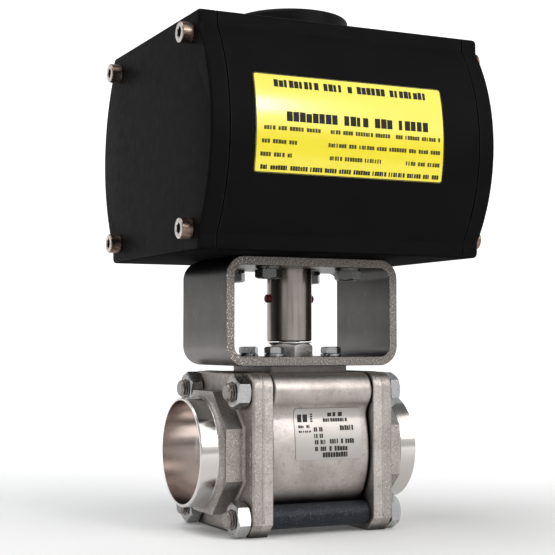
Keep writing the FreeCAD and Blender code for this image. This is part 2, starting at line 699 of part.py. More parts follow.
def spring_centres():
    angles = [math.radians(30 + 60 * i) for i in range(SPRINGS)]
    return [(SPRING_AT * math.cos(a), MID + SPRING_AT * math.sin(a)) for a in angles]


def piston():
    """Left piston: a disc with the front rack arm."""
    outer = -PISTON_IN - PISTON_T
    disc = rod_x(PISTON_R, outer, -PISTON_IN, 0, MID)
    back = -PITCH_R - DEDENDUM
    arm = box(-PISTON_IN - 1, ARM_END, -CYLINDER_R, back, MID - RACK_HALF, MID + RACK_HALF)
    arm = arm.common(rod_x(ARM_R, -ACT_X, ACT_X, 0, MID))
    shape = disc.fuse([arm] + rack()).removeSplitter()
    shape = shape.cut(ring_x(PISTON_R + 1, 46.8, -PISTON_IN - 7.7, -PISTON_IN - 4.3, MID))
    shape = shape.cut(ring_x(PISTON_R + 1, 47.5, -PISTON_IN - 14.5, -PISTON_IN - 10.5, MID))
    pockets = [rod_x(POCKET_R, outer - 1, -POCKET_FLOOR, y, z) for y, z in spring_centres()]
    return shape.cut(pockets)


def piston_seal():
    return Part.makeTorus(48.4, 1.55, V(-PISTON_IN - 6, 0, MID), X)


def guide_band():
    return ring_x(CYLINDER_R - 0.06, 47.55, -PISTON_IN - 14.45, -PISTON_IN - 10.55, MID)


def rack_guide():
    """Low-friction pad between the arm's back and the cylinder wall."""
    pad = ring_x(CYLINDER_R - 0.07, ARM_R, -20, 20, MID)
    return pad.common(box(-20, 20, -CYLINDER_R, 0, MID - 8, MID + 8))


def spring_pack():
    """Return springs between the left piston and the left end cover."""
    start = -ACT_X + COVER_T - COVER_POCKET + WIRE_R + 0.05
    length = -POCKET_FLOOR - WIRE_R - 0.05 - start
    path = Part.makeHelix(length / SPRING_TURNS, length, SPRING_R)
    wire = Part.Wire(Part.Circle(V(SPRING_R, 0, 0), Y, WIRE_R).toShape())
    coil = Part.Wire(path).makePipeShell([wire], True, True)
    return [place(coil.copy(), (start, y, z), X) for y, z in spring_centres()]


# ---------------------------------------------------------------- position indicator

def indicator_dial():
    dial = ring_z(DISC_R, 18.0, TOP_Z, DIAL_TOP)
    return dial.makeChamfer(0.8, [e for e in edges_at_z(dial, DIAL_TOP) if e.BoundBox.XLength > DISC_R])


def indicator_cap():
    cap = rod_z(DISC_R, CAP_Z, CAP_TOP)
    cap = cap.makeFillet(2.5, edges_at_z(cap, CAP_TOP))
    cap = cap.cut(ring_z(DISC_R - 4, 12.0, CAP_Z - 1, CAP_TOP - 4))
    bore = rod_z(8.1, CAP_Z - 1, STUB_TOP + 0.2)
    bore = bore.common(box(-6.6, 6.6, -9, 9, CAP_Z - 1, STUB_TOP + 1))
    cap = cap.cut([bore, rod_z(3.2, CAP_Z, CAP_TOP), rod_z(5.6, SCREW_SEAT, CAP_TOP + 1)])
    return cap.cut(pointer_blank(0.05, CAP_TOP - POINTER_SINK, CAP_TOP + 1))


def pointer_blank(grow, z0, z1):
    half, end = 7.0 + grow, 19.0
    bar = box(-end, end, -half, half, z0, z1)
    return bar.fuse([rod_z(half, z0, z1, -end), rod_z(half, z0, z1, end)]).removeSplitter()


def indicator_pointer():
    blank = pointer_blank(0, CAP_TOP - POINTER_SINK, CAP_TOP + POINTER_SINK)
    return blank.cut(rod_z(5.65, CAP_TOP - 1, CAP_TOP + 1))


def indicator_screw():
    return place(socket_screw(3.0, 14.0, 5.2, 3.4, 4.0, 2.0), (0, 0, SCREW_SEAT), Z)


# ---------------------------------------------------------------- files

def build_valve():
    left = end_cap()
    save("left_end_cap", left)
    save("right_end_cap", mirror_x(left))
    save("valve_body", centre_body())
    save("nameplate", nameplate())
    save("ball", ball())
    save("left_seat", seat())
    save("right_seat", mirror_x(seat()))
    save("body_seals", body_seal(), mirror_x(body_seal()))
    save("stem", stem())
    save("stem_thrust_washer", ring_z(10.1, STEM_R + RUNNING, PIPE_Z + 38.8, PIPE_Z + 40))
    save("stem_packing", *packing_rings())
    save("gland_follower", gland_follower())
    save("gland_spring_washers", *gland_springs())
    save("gland_nut", gland_nut())
    save("lock_disc", lock_disc())
    save("body_bolts", *body_bolts())
    save("body_nuts", *body_nuts())
    save("bolt_sleeves", *bolt_sleeves())


def build_bracket():
    save("mounting_bracket", bracket())
    bolts, washers = lower_bolts()
    save("bracket_to_valve_bolts", *bolts)
    save("bracket_to_valve_washers", *washers)
    bolts, washers = upper_bolts()
    save("bracket_to_actuator_bolts", *bolts)
    save("bracket_to_actuator_washers", *washers)
    save("coupling", coupling())
    save("coupling_dots", *coupling_dots())


def build_actuator():
    save("actuator_body", actuator_body())
    save("front_label", front_label())
    sides = {"left": lambda shape: shape, "right": half_turn}
    for side, turned in sides.items():
        save(side + "_end_cover", turned(end_cover()))
        save(side + "_cover_gasket", turned(cover_gasket()))
        save(side + "_cover_screws", *[turned(s) for s in cover_screws()])
        save(side + "_piston", turned(piston()))
        save(side + "_piston_seal", turned(piston_seal()))
        save(side + "_guide_band", turned(guide_band()))
        save(side + "_rack_guide", turned(rack_guide()))
        save(side + "_springs", *[turned(s) for s in spring_pack()])
    save("pinion", pinion())
    save("pinion_seals", *pinion_rings())
    save("lower_bearing", lower_bearing())
    save("upper_bearing", upper_bearing())
    save("top_washer", top_washer())
    save("snap_ring", snap_ring())
    save("indicator_dial", indicator_dial())
    save("indicator_cap", indicator_cap())
    save("indicator_pointer", indicator_pointer())
    save("indicator_screw", indicator_screw())


os.makedirs("parts", exist_ok=True)
build_valve()
build_bracket()
build_actuator()
print("piston stroke", round(STROKE, 3))
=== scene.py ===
"""Looks of the pneumatic actuated ball valve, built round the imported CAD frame."""

import json
import math
import random

import bpy
from mathutils import Matrix, Vector
from mathutils.bvhtree import BVHTree

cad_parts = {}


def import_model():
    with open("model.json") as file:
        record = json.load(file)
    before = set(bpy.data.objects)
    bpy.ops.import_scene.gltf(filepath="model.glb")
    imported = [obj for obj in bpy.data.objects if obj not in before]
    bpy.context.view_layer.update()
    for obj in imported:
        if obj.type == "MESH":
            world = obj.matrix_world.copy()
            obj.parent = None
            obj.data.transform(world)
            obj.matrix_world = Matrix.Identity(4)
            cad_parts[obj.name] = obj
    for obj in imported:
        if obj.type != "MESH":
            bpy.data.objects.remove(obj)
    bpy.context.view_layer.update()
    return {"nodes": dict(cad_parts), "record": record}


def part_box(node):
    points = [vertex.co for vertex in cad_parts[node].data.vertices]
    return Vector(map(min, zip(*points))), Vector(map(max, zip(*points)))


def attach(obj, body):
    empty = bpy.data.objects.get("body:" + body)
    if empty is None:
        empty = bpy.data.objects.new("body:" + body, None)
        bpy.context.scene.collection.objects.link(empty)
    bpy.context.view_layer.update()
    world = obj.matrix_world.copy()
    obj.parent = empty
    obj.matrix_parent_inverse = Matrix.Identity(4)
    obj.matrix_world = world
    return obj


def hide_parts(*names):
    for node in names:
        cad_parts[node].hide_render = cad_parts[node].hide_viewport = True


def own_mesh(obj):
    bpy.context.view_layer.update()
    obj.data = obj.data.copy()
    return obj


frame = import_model()

MM = 0.001
X_AXIS, Y_AXIS, Z_AXIS = Vector((1, 0, 0)), Vector((0, 1, 0)), Vector((0, 0, 1))
CAP_LOW, CAP_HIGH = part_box("left_end_cap")
PIPE_Z = (CAP_LOW.z + CAP_HIGH.z) / 2
PISTON_Z = (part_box("left_piston")[0].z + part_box("left_piston")[1].z) / 2
NUT_END_X, LEFT_FLANGE_X = [corner.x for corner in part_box("body_nuts")]
FLANGE_X = -LEFT_FLANGE_X       # outer face of a flange
JOINT_X = -CAP_HIGH.x           # where a flange meets the body
FLANGE_MIDDLE_X = (FLANGE_X + JOINT_X) / 2
TURNED_X = 56.1 * MM            # a weld end is turned beyond this
MOUTH_R = 28.5 * MM             # bore of a weld end
PAD_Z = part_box("mounting_bracket")[0].z
COUPLING_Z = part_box("coupling")[0].z
ACTUATOR_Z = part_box("actuator_body")[0].z
SEED = 7


# ------------ shader toolkit

class Shader:
    """A Principled material and short calls that add nodes to its tree. Lengths are in millimetres."""

    def __init__(self, name, **constants):
        self.material = bpy.data.materials.new(name)
        self.material.use_nodes = True
        self.nodes = self.material.node_tree.nodes
        self.links = self.material.node_tree.links
        self.nodes.clear()
        self.bsdf = self.add("ShaderNodeBsdfPrincipled")
        output = self.add("ShaderNodeOutputMaterial")
        self.links.new(self.bsdf.outputs["BSDF"], output.inputs["Surface"])
        self.object = self.add("ShaderNodeTexCoord").outputs["Object"]
        self.bump_normal = None
        for key, value in constants.items():
            self.bsdf.inputs[key.replace("_", " ")].default_value = value

    def add(self, kind, **settings):
        node = self.nodes.new(kind)
        for key, value in settings.items():
            setattr(node, key, value)
        return node

    def feed(self, socket, value):
        if isinstance(value, bpy.types.NodeSocket):
            self.links.new(value, socket)
        else:
            socket.default_value = value

    def math(self, operation, a, b=0.0):
        node = self.add("ShaderNodeMath", operation=operation)
        self.feed(node.inputs[0], a)
        self.feed(node.inputs[1], b)
        return node.outputs[0]

    def times(self, a, b):
        return self.math("MULTIPLY", a, b)

    def stretched(self, scale):
        node = self.add("ShaderNodeMapping")
        self.links.new(self.object, node.inputs["Vector"])
        node.inputs["Scale"].default_value = scale
        return node.outputs["Vector"]

    def noise(self, size, detail=2.0, stretch=(1, 1, 1), rough=0.5):
        """Cloudy noise with features of about this size."""
        node = self.add("ShaderNodeTexNoise")
        self.links.new(self.stretched(stretch), node.inputs["Vector"])
        node.inputs["Scale"].default_value = 1.0 / (size * MM)
        node.inputs["Detail"].default_value = detail
        node.inputs["Roughness"].default_value = rough
        return node.outputs["Fac"]

    def line_noise(self, along, size):
        """Noise of one variable: turning marks where that variable runs across them."""
        node = self.add("ShaderNodeTexNoise", noise_dimensions="1D")
        self.feed(node.inputs["W"], along)
        node.inputs["Scale"].default_value = 1.0 / (size * MM)
        node.inputs["Detail"].default_value = 3.0
        return node.outputs["Fac"]

    def ramp(self, value, low, high, out_low=0.0, out_high=1.0):
        """Straight line from out_low at low to out_high at high, and flat beyond."""
        node = self.add("ShaderNodeMapRange")
        self.feed(node.inputs["Value"], value)
        node.inputs["From Min"].default_value = low
        node.inputs["From Max"].default_value = high
        node.inputs["To Min"].default_value = out_low
        node.inputs["To Max"].default_value = out_high
        return node.outputs["Result"]

    def spread(self, noise, out_low, out_high):
        """Takes the middle range of a noise to the range out_low to out_high."""
        return self.ramp(noise, 0.3, 0.7, out_low, out_high)

    def mix(self, factor, a, b):
        """Mix of two colours."""
        node = self.add("ShaderNodeMix", data_type="RGBA")
        self.feed(node.inputs["Factor"], factor)
        self.feed(node.inputs[6], rgba(a))
        self.feed(node.inputs[7], rgba(b))
        return node.outputs[2]

    def blend(self, factor, a, b):
        """Mix of two numbers."""
        node = self.add("ShaderNodeMix", data_type="FLOAT")
        self.feed(node.inputs["Factor"], factor)
        self.feed(node.inputs[2], a)
        self.feed(node.inputs[3], b)
        return node.outputs[0]

    def axis(self, name):
        split = self.add("ShaderNodeSeparateXYZ")
        self.links.new(self.object, split.inputs[0])
        return split.outputs[name]

    def radius(self, a, b, centre_b=0.0):
        """Distance from a line along the third axis."""
        u = self.axis(a)
        v = self.math("SUBTRACT", self.axis(b), centre_b)
        squares = self.math("ADD", self.times(u, u), self.times(v, v))
        return self.math("SQRT", squares)

    def facing(self, name):
        """How far the surface faces along an axis of the object, from 0 to 1."""
        coords = self.add("ShaderNodeTexCoord")
        split = self.add("ShaderNodeSeparateXYZ")
        self.links.new(coords.outputs["Normal"], split.inputs[0])
        return self.math("ABSOLUTE", split.outputs[name])

    def edges(self, size, low=0.02, high=0.2):
        """1 on edges and in corners of about this size, 0 on flats."""
        bevel = self.add("ShaderNodeBevel", samples=6)
        bevel.inputs["Radius"].default_value = size * MM
        geometry = self.add("ShaderNodeNewGeometry")
        dot = self.add("ShaderNodeVectorMath", operation="DOT_PRODUCT")
        self.links.new(bevel.outputs["Normal"], dot.inputs[0])
        self.links.new(geometry.outputs["Normal"], dot.inputs[1])
        return self.ramp(self.math("SUBTRACT", 1.0, dot.outputs["Value"]), low, high)

    def crevice_shade(self, reach):
        """1 deep in a gap narrower than the reach, 0 in the open: the mask for painted shade in gaps."""
        node = self.add("ShaderNodeAmbientOcclusion", samples=6)
        node.inputs["Distance"].default_value = reach * MM
        return self.ramp(node.outputs["AO"], 0.72, 0.3)

    def bump(self, height, depth):
        """Adds relief: height runs from 0 to 1 and stands for this depth."""
        node = self.add("ShaderNodeBump")
        node.inputs["Strength"].default_value = 1.0
        node.inputs["Distance"].default_value = depth * MM
        self.links.new(height, node.inputs["Height"])
        if self.bump_normal is not None:
            self.links.new(self.bump_normal, node.inputs["Normal"])
        self.bump_normal = node.outputs["Normal"]

    def done(self, colour=None, roughness=None, metallic=None):
        if colour is not None:
            self.feed(self.bsdf.inputs["Base Color"], colour)
        if roughness is not None:
            self.feed(self.bsdf.inputs["Roughness"], roughness)
        if metallic is not None:
            self.feed(self.bsdf.inputs["Metallic"], metallic)
        if self.bump_normal is not None:
            self.links.new(self.bump_normal, self.bsdf.inputs["Normal"])
        return self.material


def rgba(colour):
    if isinstance(colour, bpy.types.NodeSocket) or len(colour) == 4:
        return colour
    return (*colour, 1.0)


# ------------ materials

def cast_stainless():
    """Blasted casting, sparkling and pitted; the weld ends, bores and top pad are machined."""
    s = Shader("cast_stainless", Metallic=1.0)
    grain = s.noise(0.75, 3, rough=0.65)
    pits = s.noise(1.1, 2)
    lumps = s.noise(3.2, 3)
    cloud = s.noise(15, 3)
    along = s.math("ABSOLUTE", s.axis("X"))
    radius = s.radius("Y", "Z", PIPE_Z)
    end = s.ramp(along, TURNED_X, TURNED_X + 0.4 * MM)
    bore = s.ramp(radius, MOUTH_R + 0.5 * MM, MOUTH_R + 0.2 * MM)
    pad = s.ramp(s.axis("Z"), PAD_Z - 0.3 * MM, PAD_Z - 0.1 * MM)
    machined = s.math("MAXIMUM", s.math("MAXIMUM", end, bore), pad)
    marks = s.line_noise(s.math("ADD", along, radius), 0.28)
    cast = s.mix(s.ramp(cloud, 0.35, 0.65), (0.43, 0.388, 0.365), (0.56, 0.515, 0.49))
    cast = s.mix(s.ramp(lumps, 0.45, 0.30, 0, 0.3), cast, (0.24, 0.215, 0.20))
    on_cap = s.ramp(along, JOINT_X - 0.2 * MM, JOINT_X + 0.2 * MM, 0.35, 1.0)
    outer_band = s.ramp(along, FLANGE_MIDDLE_X - 0.15 * MM, FLANGE_MIDDLE_X + 0.45 * MM, 0, 0.35)
    cast = s.mix(outer_band, cast, (0.22, 0.195, 0.18))
    sparkle = s.times(s.ramp(grain, 0.57, 0.70, 0, 0.75), on_cap)
    cast = s.mix(sparkle, cast, (0.90, 0.86, 0.83))
    dark_grain = s.times(s.ramp(pits, 0.42, 0.30, 0, 0.5), on_cap)
    cast = s.mix(dark_grain, cast, (0.14, 0.125, 0.115))
    cast = s.mix(s.times(s.edges(0.8), 0.4), cast, (0.80, 0.76, 0.73))
    # Painted shade: the casting is darkened deep in gaps and corners, such as where flange and body meet.
    cast = s.mix(s.times(s.crevice_shade(6.0), 0.9), cast, (0.02, 0.018, 0.017))
    # Painted shade: a dark band on the body beside each flange, standing for the shade in the groove at the
    # joint.
    on_body = s.ramp(along, JOINT_X, JOINT_X - 0.05 * MM)
    joint_shade = s.ramp(along, JOINT_X - 1.5 * MM, JOINT_X - 0.6 * MM, 0, 0.93)
    cast = s.mix(s.times(joint_shade, on_body), cast, (0.012, 0.011, 0.010))
    turned = s.mix(marks, (0.66, 0.62, 0.595), (0.76, 0.72, 0.69))
    turned = s.mix(s.times(bore, 0.9), turned, (0.62, 0.56, 0.53))
    rough = s.blend(machined, s.ramp(grain, 0.35, 0.65, 0.50, 0.38), s.spread(marks, 0.12, 0.2))
    blast = s.math("SUBTRACT", 1.0, machined)
    s.bump(s.times(grain, s.times(blast, on_cap)), 0.17)
    s.bump(s.times(lumps, blast), 0.12)
    s.bump(s.times(marks, machined), 0.004)
    return s.done(s.mix(machined, cast, turned), rough)


def plated_steel():
    """Bright plated fasteners with faint scuffs; painted shade darkens the ones under the actuator."""
    s = Shader("plated_steel", Metallic=1.0)
    cloud = s.noise(4.0, 3)
    scuffs = s.noise(0.5, 4, stretch=(1, 1, 5))
    colour = s.mix(cloud, (0.42, 0.43, 0.425), (0.54, 0.545, 0.54))
    colour = s.mix(s.ramp(scuffs, 0.64, 0.8, 0, 0.3), colour, (0.36, 0.36, 0.345))
    colour = s.mix(s.times(s.edges(0.4), 0.5), colour, (0.80, 0.80, 0.78))
    tips = s.ramp(s.axis("X"), NUT_END_X + 0.1 * MM, NUT_END_X - 0.1 * MM, 0, 0.85)
    colour = s.mix(tips, colour, (0.25, 0.215, 0.195))
    # Painted shade: darkens the thread roots and the narrow gaps at the nuts.
    colour = s.mix(s.times(s.crevice_shade(1.6), 0.85), colour, (0.03, 0.027, 0.025))
    # Painted shade: fasteners higher than 125 mm, under the actuator, are darkened as if in its shadow.
    shade_under_actuator = s.ramp(s.axis("Z"), 125.0 * MM, 130.0 * MM, 0, 0.8)
    colour = s.mix(shade_under_actuator, colour, (0.09, 0.088, 0.085))
    s.bump(scuffs, 0.002)
    s.bump(s.noise(2.4, 2), 0.006)
    return s.done(colour, s.spread(s.noise(1.6, 3), 0.24, 0.34))


def stainless_plate():
    """Satin rolled tube wall; the sawn ends are granular, with brighter specks on the left."""
    s = Shader("stainless_plate", Metallic=1.0)
    cloud = s.noise(16, 3)
    fine = s.noise(0.6, 3)
    sawn = s.ramp(s.facing("Y"), 0.55, 0.8)
    grit = s.noise(1.0, 4, stretch=(1.7, 1, 0.9), rough=0.7)
    wall = s.mix(cloud, (0.075, 0.071, 0.068), (0.13, 0.123, 0.117))
    # Painted shadow: the wall darkens towards the top, under the actuator. Painted light: it pales towards
    # the bottom.
    top_shadow = s.ramp(s.axis("Z"), 125.0 * MM, 150.0 * MM, 0, 0.9)
    lower = s.ramp(s.axis("Z"), 112.0 * MM, 93.0 * MM, 0, 0.5)
    blotches = s.ramp(s.noise(5, 4), 0.6, 0.72, 0, 0.2)
    wall = s.mix(top_shadow, wall, (0.018, 0.017, 0.016))
    wall = s.mix(lower, wall, (0.34, 0.32, 0.305))
    wall = s.mix(blotches, wall, (0.24, 0.228, 0.216))
    edge = s.mix(s.ramp(grit, 0.36, 0.66), (0.05, 0.045, 0.041), (0.39, 0.355, 0.325))
    leftward = s.ramp(s.axis("X"), -28.0 * MM, -44.0 * MM, 0.3, 0.9)
    specks = s.times(s.ramp(s.noise(0.8, 2), 0.58, 0.68), leftward)
    edge = s.mix(specks, edge, (0.98, 0.95, 0.91))
    rough = s.blend(sawn, s.spread(fine, 0.34, 0.46), s.spread(grit, 0.28, 0.5))
    s.bump(s.times(grit, sawn), 0.24)
    s.bump(s.noise(0.5, 2, stretch=(1, 4, 1)), 0.008)
    lighter_edges = s.mix(s.times(s.edges(0.5), 0.7), s.mix(sawn, wall, edge), (0.66, 0.63, 0.60))
    return s.done(lighter_edges, rough)


def turned_stainless():
    """Turned bar stock about the stem axis. The coupling is browner than the gland nut below it."""
    s = Shader("turned_stainless", Metallic=1.0)
    marks = s.line_noise(s.math("ADD", s.axis("Z"), s.radius("X", "Y")), 0.35)
    cloud = s.noise(7, 3)
    # Painted reflection: dark vertical bands stand for the studio reflected round the turned bar.
    reflection_bands = s.noise(3.5, 1, stretch=(1, 1, 0.05))
    colour = s.mix(cloud, (0.38, 0.335, 0.31), (0.50, 0.445, 0.41))
    colour = s.mix(s.ramp(reflection_bands, 0.46, 0.62, 0, 0.5), colour, (0.17, 0.145, 0.13))
    colour = s.mix(s.ramp(marks, 0.62, 0.8, 0, 0.1), colour, (0.46, 0.42, 0.39))
    gland = s.ramp(s.axis("Z"), COUPLING_Z - 0.1 * MM, COUPLING_Z - 0.3 * MM, 0, 0.9)
    colour = s.mix(gland, colour, (0.90, 0.87, 0.84))
    s.bump(marks, 0.0003)
    return s.done(colour, s.spread(cloud, 0.21, 0.25))


def blackened_steel():
    """Blue-black sleeve with paler specks."""
    s = Shader("blackened_steel", Metallic=0.55)
    specks = s.noise(0.8, 3)
    cloud = s.noise(6, 3)
    colour = s.mix(cloud, (0.011, 0.013, 0.018), (0.024, 0.028, 0.038))
    colour = s.mix(s.ramp(specks, 0.56, 0.68, 0, 0.8), colour, (0.085, 0.095, 0.12))
    s.bump(specks, 0.05)
    return s.done(colour, s.spread(specks, 0.42, 0.62))


def black_anodised():
    """Satin black coat with a fine orange peel and a painted highlight along the edges. Painted shade
    darkens the faces along X and, darkest, the underside.
    """
    s = Shader("black_anodised", Specular_IOR_Level=0.021)
    cloud = s.noise(35, 3)
    peel = s.noise(0.9, 2)
    dust = s.noise(0.5, 4)
    colour = s.mix(cloud, (0.0042, 0.0042, 0.0045), (0.0075, 0.0075, 0.0078))
    colour = s.mix(s.ramp(dust, 0.64, 0.8, 0, 0.15), colour, (0.014, 0.014, 0.0145))
    # Painted highlight: a patchy lighter colour along the edges.
    lighter_edges = s.times(s.edges(0.9, 0.03, 0.3), s.spread(s.noise(5, 3), 0.25, 1.0))
    below = s.ramp(s.axis("Z"), ACTUATOR_Z + 0.7 * MM, ACTUATOR_Z + 0.3 * MM)
    # Painted shade: faces that look along X, such as the end covers' outer faces, are darkened.
    side_shade = s.ramp(s.facing("X"), 0.6, 0.9, 0, 0.5)
    colour = s.mix(side_shade, colour, (0.001, 0.001, 0.001))
    # Painted shade: the underside is darkened to near black.
    colour = s.mix(below, colour, (0.0008, 0.0008, 0.0008))
    colour = s.mix(s.times(lighter_edges, 0.8), colour, (0.04, 0.04, 0.042))
    s.bump(peel, 0.005)
    s.bump(s.noise(12, 2), 0.012)
    return s.done(colour, s.blend(below, s.spread(s.noise(5, 3), 0.42, 0.5), 0.95))


def black_plastic():
    """Moulded polymer with a spark-eroded texture."""
    s = Shader("black_plastic", Specular_IOR_Level=0.06)
    texture = s.noise(0.4, 2)
    colour = s.mix(s.noise(12, 3), (0.006, 0.006, 0.0065), (0.011, 0.011, 0.0115))
    colour = s.mix(s.times(s.edges(0.5, 0.03, 0.3), 0.5), colour, (0.035, 0.035, 0.037))
    s.bump(texture, 0.02)
    return s.done(colour, s.spread(texture, 0.42, 0.58))


def stainless_screw():
    """Cold-headed stainless socket screw with a brown side and a bright end face."""
    s = Shader("stainless_screw", Metallic=1.0)
    marks = s.noise(0.5, 3, stretch=(0.2, 1, 1))
    side = s.mix(s.noise(4, 2), (0.20, 0.135, 0.105), (0.28, 0.20, 0.165))
    end = s.mix(s.noise(4, 2), (0.62, 0.58, 0.55), (0.74, 0.70, 0.67))
    colour = s.mix(s.ramp(s.facing("X"), 0.6, 0.85), side, end)
    colour = s.mix(s.times(s.edges(0.3), 0.5), colour, (0.75, 0.71, 0.68))
    # Painted shade: darkens the hexagon socket and the gap under the head.
    colour = s.mix(s.times(s.crevice_shade(3.0), 0.95), colour, (0.01, 0.009, 0.008))
    s.bump(marks, 0.004)
    return s.done(colour, s.spread(marks, 0.22, 0.32))


def yellow_label():
    """Glossy printed film that has set into the relief below it."""
    s = Shader("yellow_label", Coat_Weight=1.0, Coat_Roughness=0.17, Coat_IOR=1.75,
               Specular_IOR_Level=0.1)
    cloud = s.noise(20, 3)
    colour = s.mix(cloud, (0.84, 0.705, 0.001), (0.90, 0.765, 0.003))
    colour = s.mix(s.ramp(s.noise(0.6, 3), 0.66, 0.8, 0, 0.25), colour, (0.74, 0.60, 0.03))
    s.bump(s.noise(9, 2), 0.04)
    s.bump(s.noise(0.8, 2), 0.003)
    return s.done(colour, s.spread(s.noise(2, 2), 0.30, 0.42))


def printed_ink(name, dark, light):
    s = Shader(name, Specular_IOR_Level=0.2)
    colour = s.mix(s.noise(0.6, 3), dark, light)
    s.bump(s.noise(0.5, 2), 0.002)
    return s.done(colour, s.spread(s.noise(0.6, 2), 0.45, 0.6))


def silver_plate():
    """Matte silver foil."""
    s = Shader("silver_plate", Metallic=0.9)
    fine = s.noise(0.4, 3, stretch=(0.3, 1, 1))
    colour = s.mix(s.noise(9, 3), (0.455, 0.425, 0.405), (0.53, 0.50, 0.48))
    colour = s.mix(s.times(s.edges(0.3), 0.5), colour, (0.30, 0.28, 0.265))
    s.bump(fine, 0.004)
    return s.done(colour, s.spread(fine, 0.38, 0.48))


def red_plastic():
    """Moulded marker, dark red."""
    s = Shader("red_plastic", Specular_IOR_Level=0.3)
    colour = s.mix(s.noise(1.5, 3), (0.105, 0.004, 0.006), (0.155, 0.007, 0.010))
    s.bump(s.noise(0.5, 2), 0.006)
    return s.done(colour, s.spread(s.noise(0.8, 2), 0.42, 0.55))


def white_ptfe():
    s = Shader("white_ptfe", Subsurface_Weight=0.2, Subsurface_Scale=0.001)
    colour = s.mix(s.noise(5, 3), (0.78, 0.77, 0.73), (0.86, 0.85, 0.82))
    s.bump(s.line_noise(s.radius("Y", "Z", PIPE_Z), 0.3), 0.006)
    return s.done(colour, s.spread(s.noise(0.7, 2), 0.36, 0.5))


def black_rubber():
    s = Shader("black_rubber", Specular_IOR_Level=0.15)
    colour = s.mix(s.noise(4, 3), (0.004, 0.004, 0.004), (0.009, 0.009, 0.009))
    s.bump(s.noise(0.4, 2), 0.012)
    return s.done(colour, s.spread(s.noise(0.8, 2), 0.6, 0.78))


def machined_metal(name, dark, light, low, high):
    """Plain machined metal for the pieces inside."""
    s = Shader(name, Metallic=1.0)
    marks = s.line_noise(s.radius("Y", "Z", PISTON_Z), 0.3)
    s.bump(marks, 0.004)
    colour = s.mix(s.noise(5, 3), dark, light)
    lighter_edges = s.mix(s.times(s.edges(0.4), 0.4), colour, (0.85, 0.84, 0.82))
    return s.done(lighter_edges, s.spread(marks, low, high))


def bearing_polymer():
    s = Shader("bearing_polymer", Subsurface_Weight=0.1, Subsurface_Scale=0.001)
    colour = s.mix(s.noise(4, 3), (0.60, 0.55, 0.38), (0.70, 0.65, 0.48))
    s.bump(s.noise(0.4, 2), 0.01)
    return s.done(colour, s.spread(s.noise(0.8, 2), 0.4, 0.55))


def pointer_plastic():
    s = Shader("pointer_plastic", Specular_IOR_Level=0.45)
    colour = s.mix(s.noise(6, 3), (0.72, 0.52, 0.010), (0.80, 0.60, 0.016))
    s.bump(s.noise(0.35, 2), 0.012)
    return s.done(colour, s.spread(s.noise(0.8, 2), 0.36, 0.5))


FINISHES = {
    "cast_stainless": cast_stainless(),
    "plated_steel": plated_steel(),
    "stainless_plate": stainless_plate(),
    "turned_stainless": turned_stainless(),
    "blackened_steel": blackened_steel(),
    "silver_plate": silver_plate(),
    "red_plastic": red_plastic(),
    "black_anodised": black_anodised(),
    "stainless_screw": stainless_screw(),
    "yellow_label": yellow_label(),
    "white_ptfe": white_ptfe(),
    "black_rubber": black_rubber(),
    "bare_aluminium": machined_metal("bare_aluminium", (0.62, 0.62, 0.63), (0.74, 0.74, 0.75), 0.22, 0.36),
    "nickel_steel": machined_metal("nickel_steel", (0.52, 0.50, 0.46), (0.64, 0.62, 0.58), 0.18, 0.30),
    "spring_steel": machined_metal("spring_steel", (0.22, 0.23, 0.25), (0.34, 0.35, 0.37), 0.28, 0.42),
    "bearing_polymer": bearing_polymer(),
    "black_plastic": black_plastic(),
    "pointer_plastic": pointer_plastic(),
    "polished_ball": machined_metal("polished_ball", (0.70, 0.69, 0.67), (0.78, 0.77, 0.75), 0.05, 0.11),
}
INK = printed_ink("label_ink", (0.006, 0.006, 0.006), (0.014, 0.014, 0.013))
FINE_INK = printed_ink("label_fine_ink", (0.045, 0.038, 0.006), (0.09, 0.075, 0.012))
BORDER = printed_ink("label_border", (0.008, 0.008, 0.03), (0.016, 0.016, 0.055))
PLATE_INK = printed_ink("plate_ink", (0.016, 0.014, 0.013), (0.045, 0.040, 0.037))
DIAL_INK = printed_ink("dial_ink", (0.50, 0.50, 0.49), (0.62, 0.62, 0.60))


# ------------ mesh toolkit

CRISP_ANGLE = math.radians(30)
COLUMNS = 72            # points round a bolt or nut


def facing_out(verts, faces):
    """The faces, all turned round if the solid they enclose has a negative volume."""
    volume = 0.0
    for face in faces:
        first = verts[face[0]]
        for i in range(1, len(face) - 1):
            volume += first.cross(verts[face[i]]).dot(verts[face[i + 1]])
    return faces if volume > 0 else [tuple(reversed(face)) for face in faces]


def make_piece(name, verts, faces, material, slot, body, nodes=(), crisp=False):
    """A mesh piece in the row frame that rides a body and may stand for CAD nodes."""
    mesh = bpy.data.meshes.new(name)
    mesh.from_pydata([tuple(v) for v in verts], [], facing_out(verts, faces))
    mesh.validate()
    mesh.shade_smooth()
    if crisp:
        mesh.set_sharp_from_angle(angle=CRISP_ANGLE)
    obj = bpy.data.objects.new(name, mesh)
    bpy.context.scene.collection.objects.link(obj)
    mesh.materials.append(material)
    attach(obj, body)
    if nodes:
        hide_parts(*nodes)
    return obj


def round_edges(obj, width):
    """Small roundings on every edge sharper than CRISP_ANGLE, with flats kept flat."""
    weld = obj.modifiers.new("weld", "WELD")
    weld.merge_threshold = 0.002 * MM
    bevel = obj.modifiers.new("edge_rounding", "BEVEL")
    bevel.width = width * MM
    bevel.segments = 2
    bevel.limit_method = "ANGLE"
    bevel.angle_limit = CRISP_ANGLE
    bevel.harden_normals = True


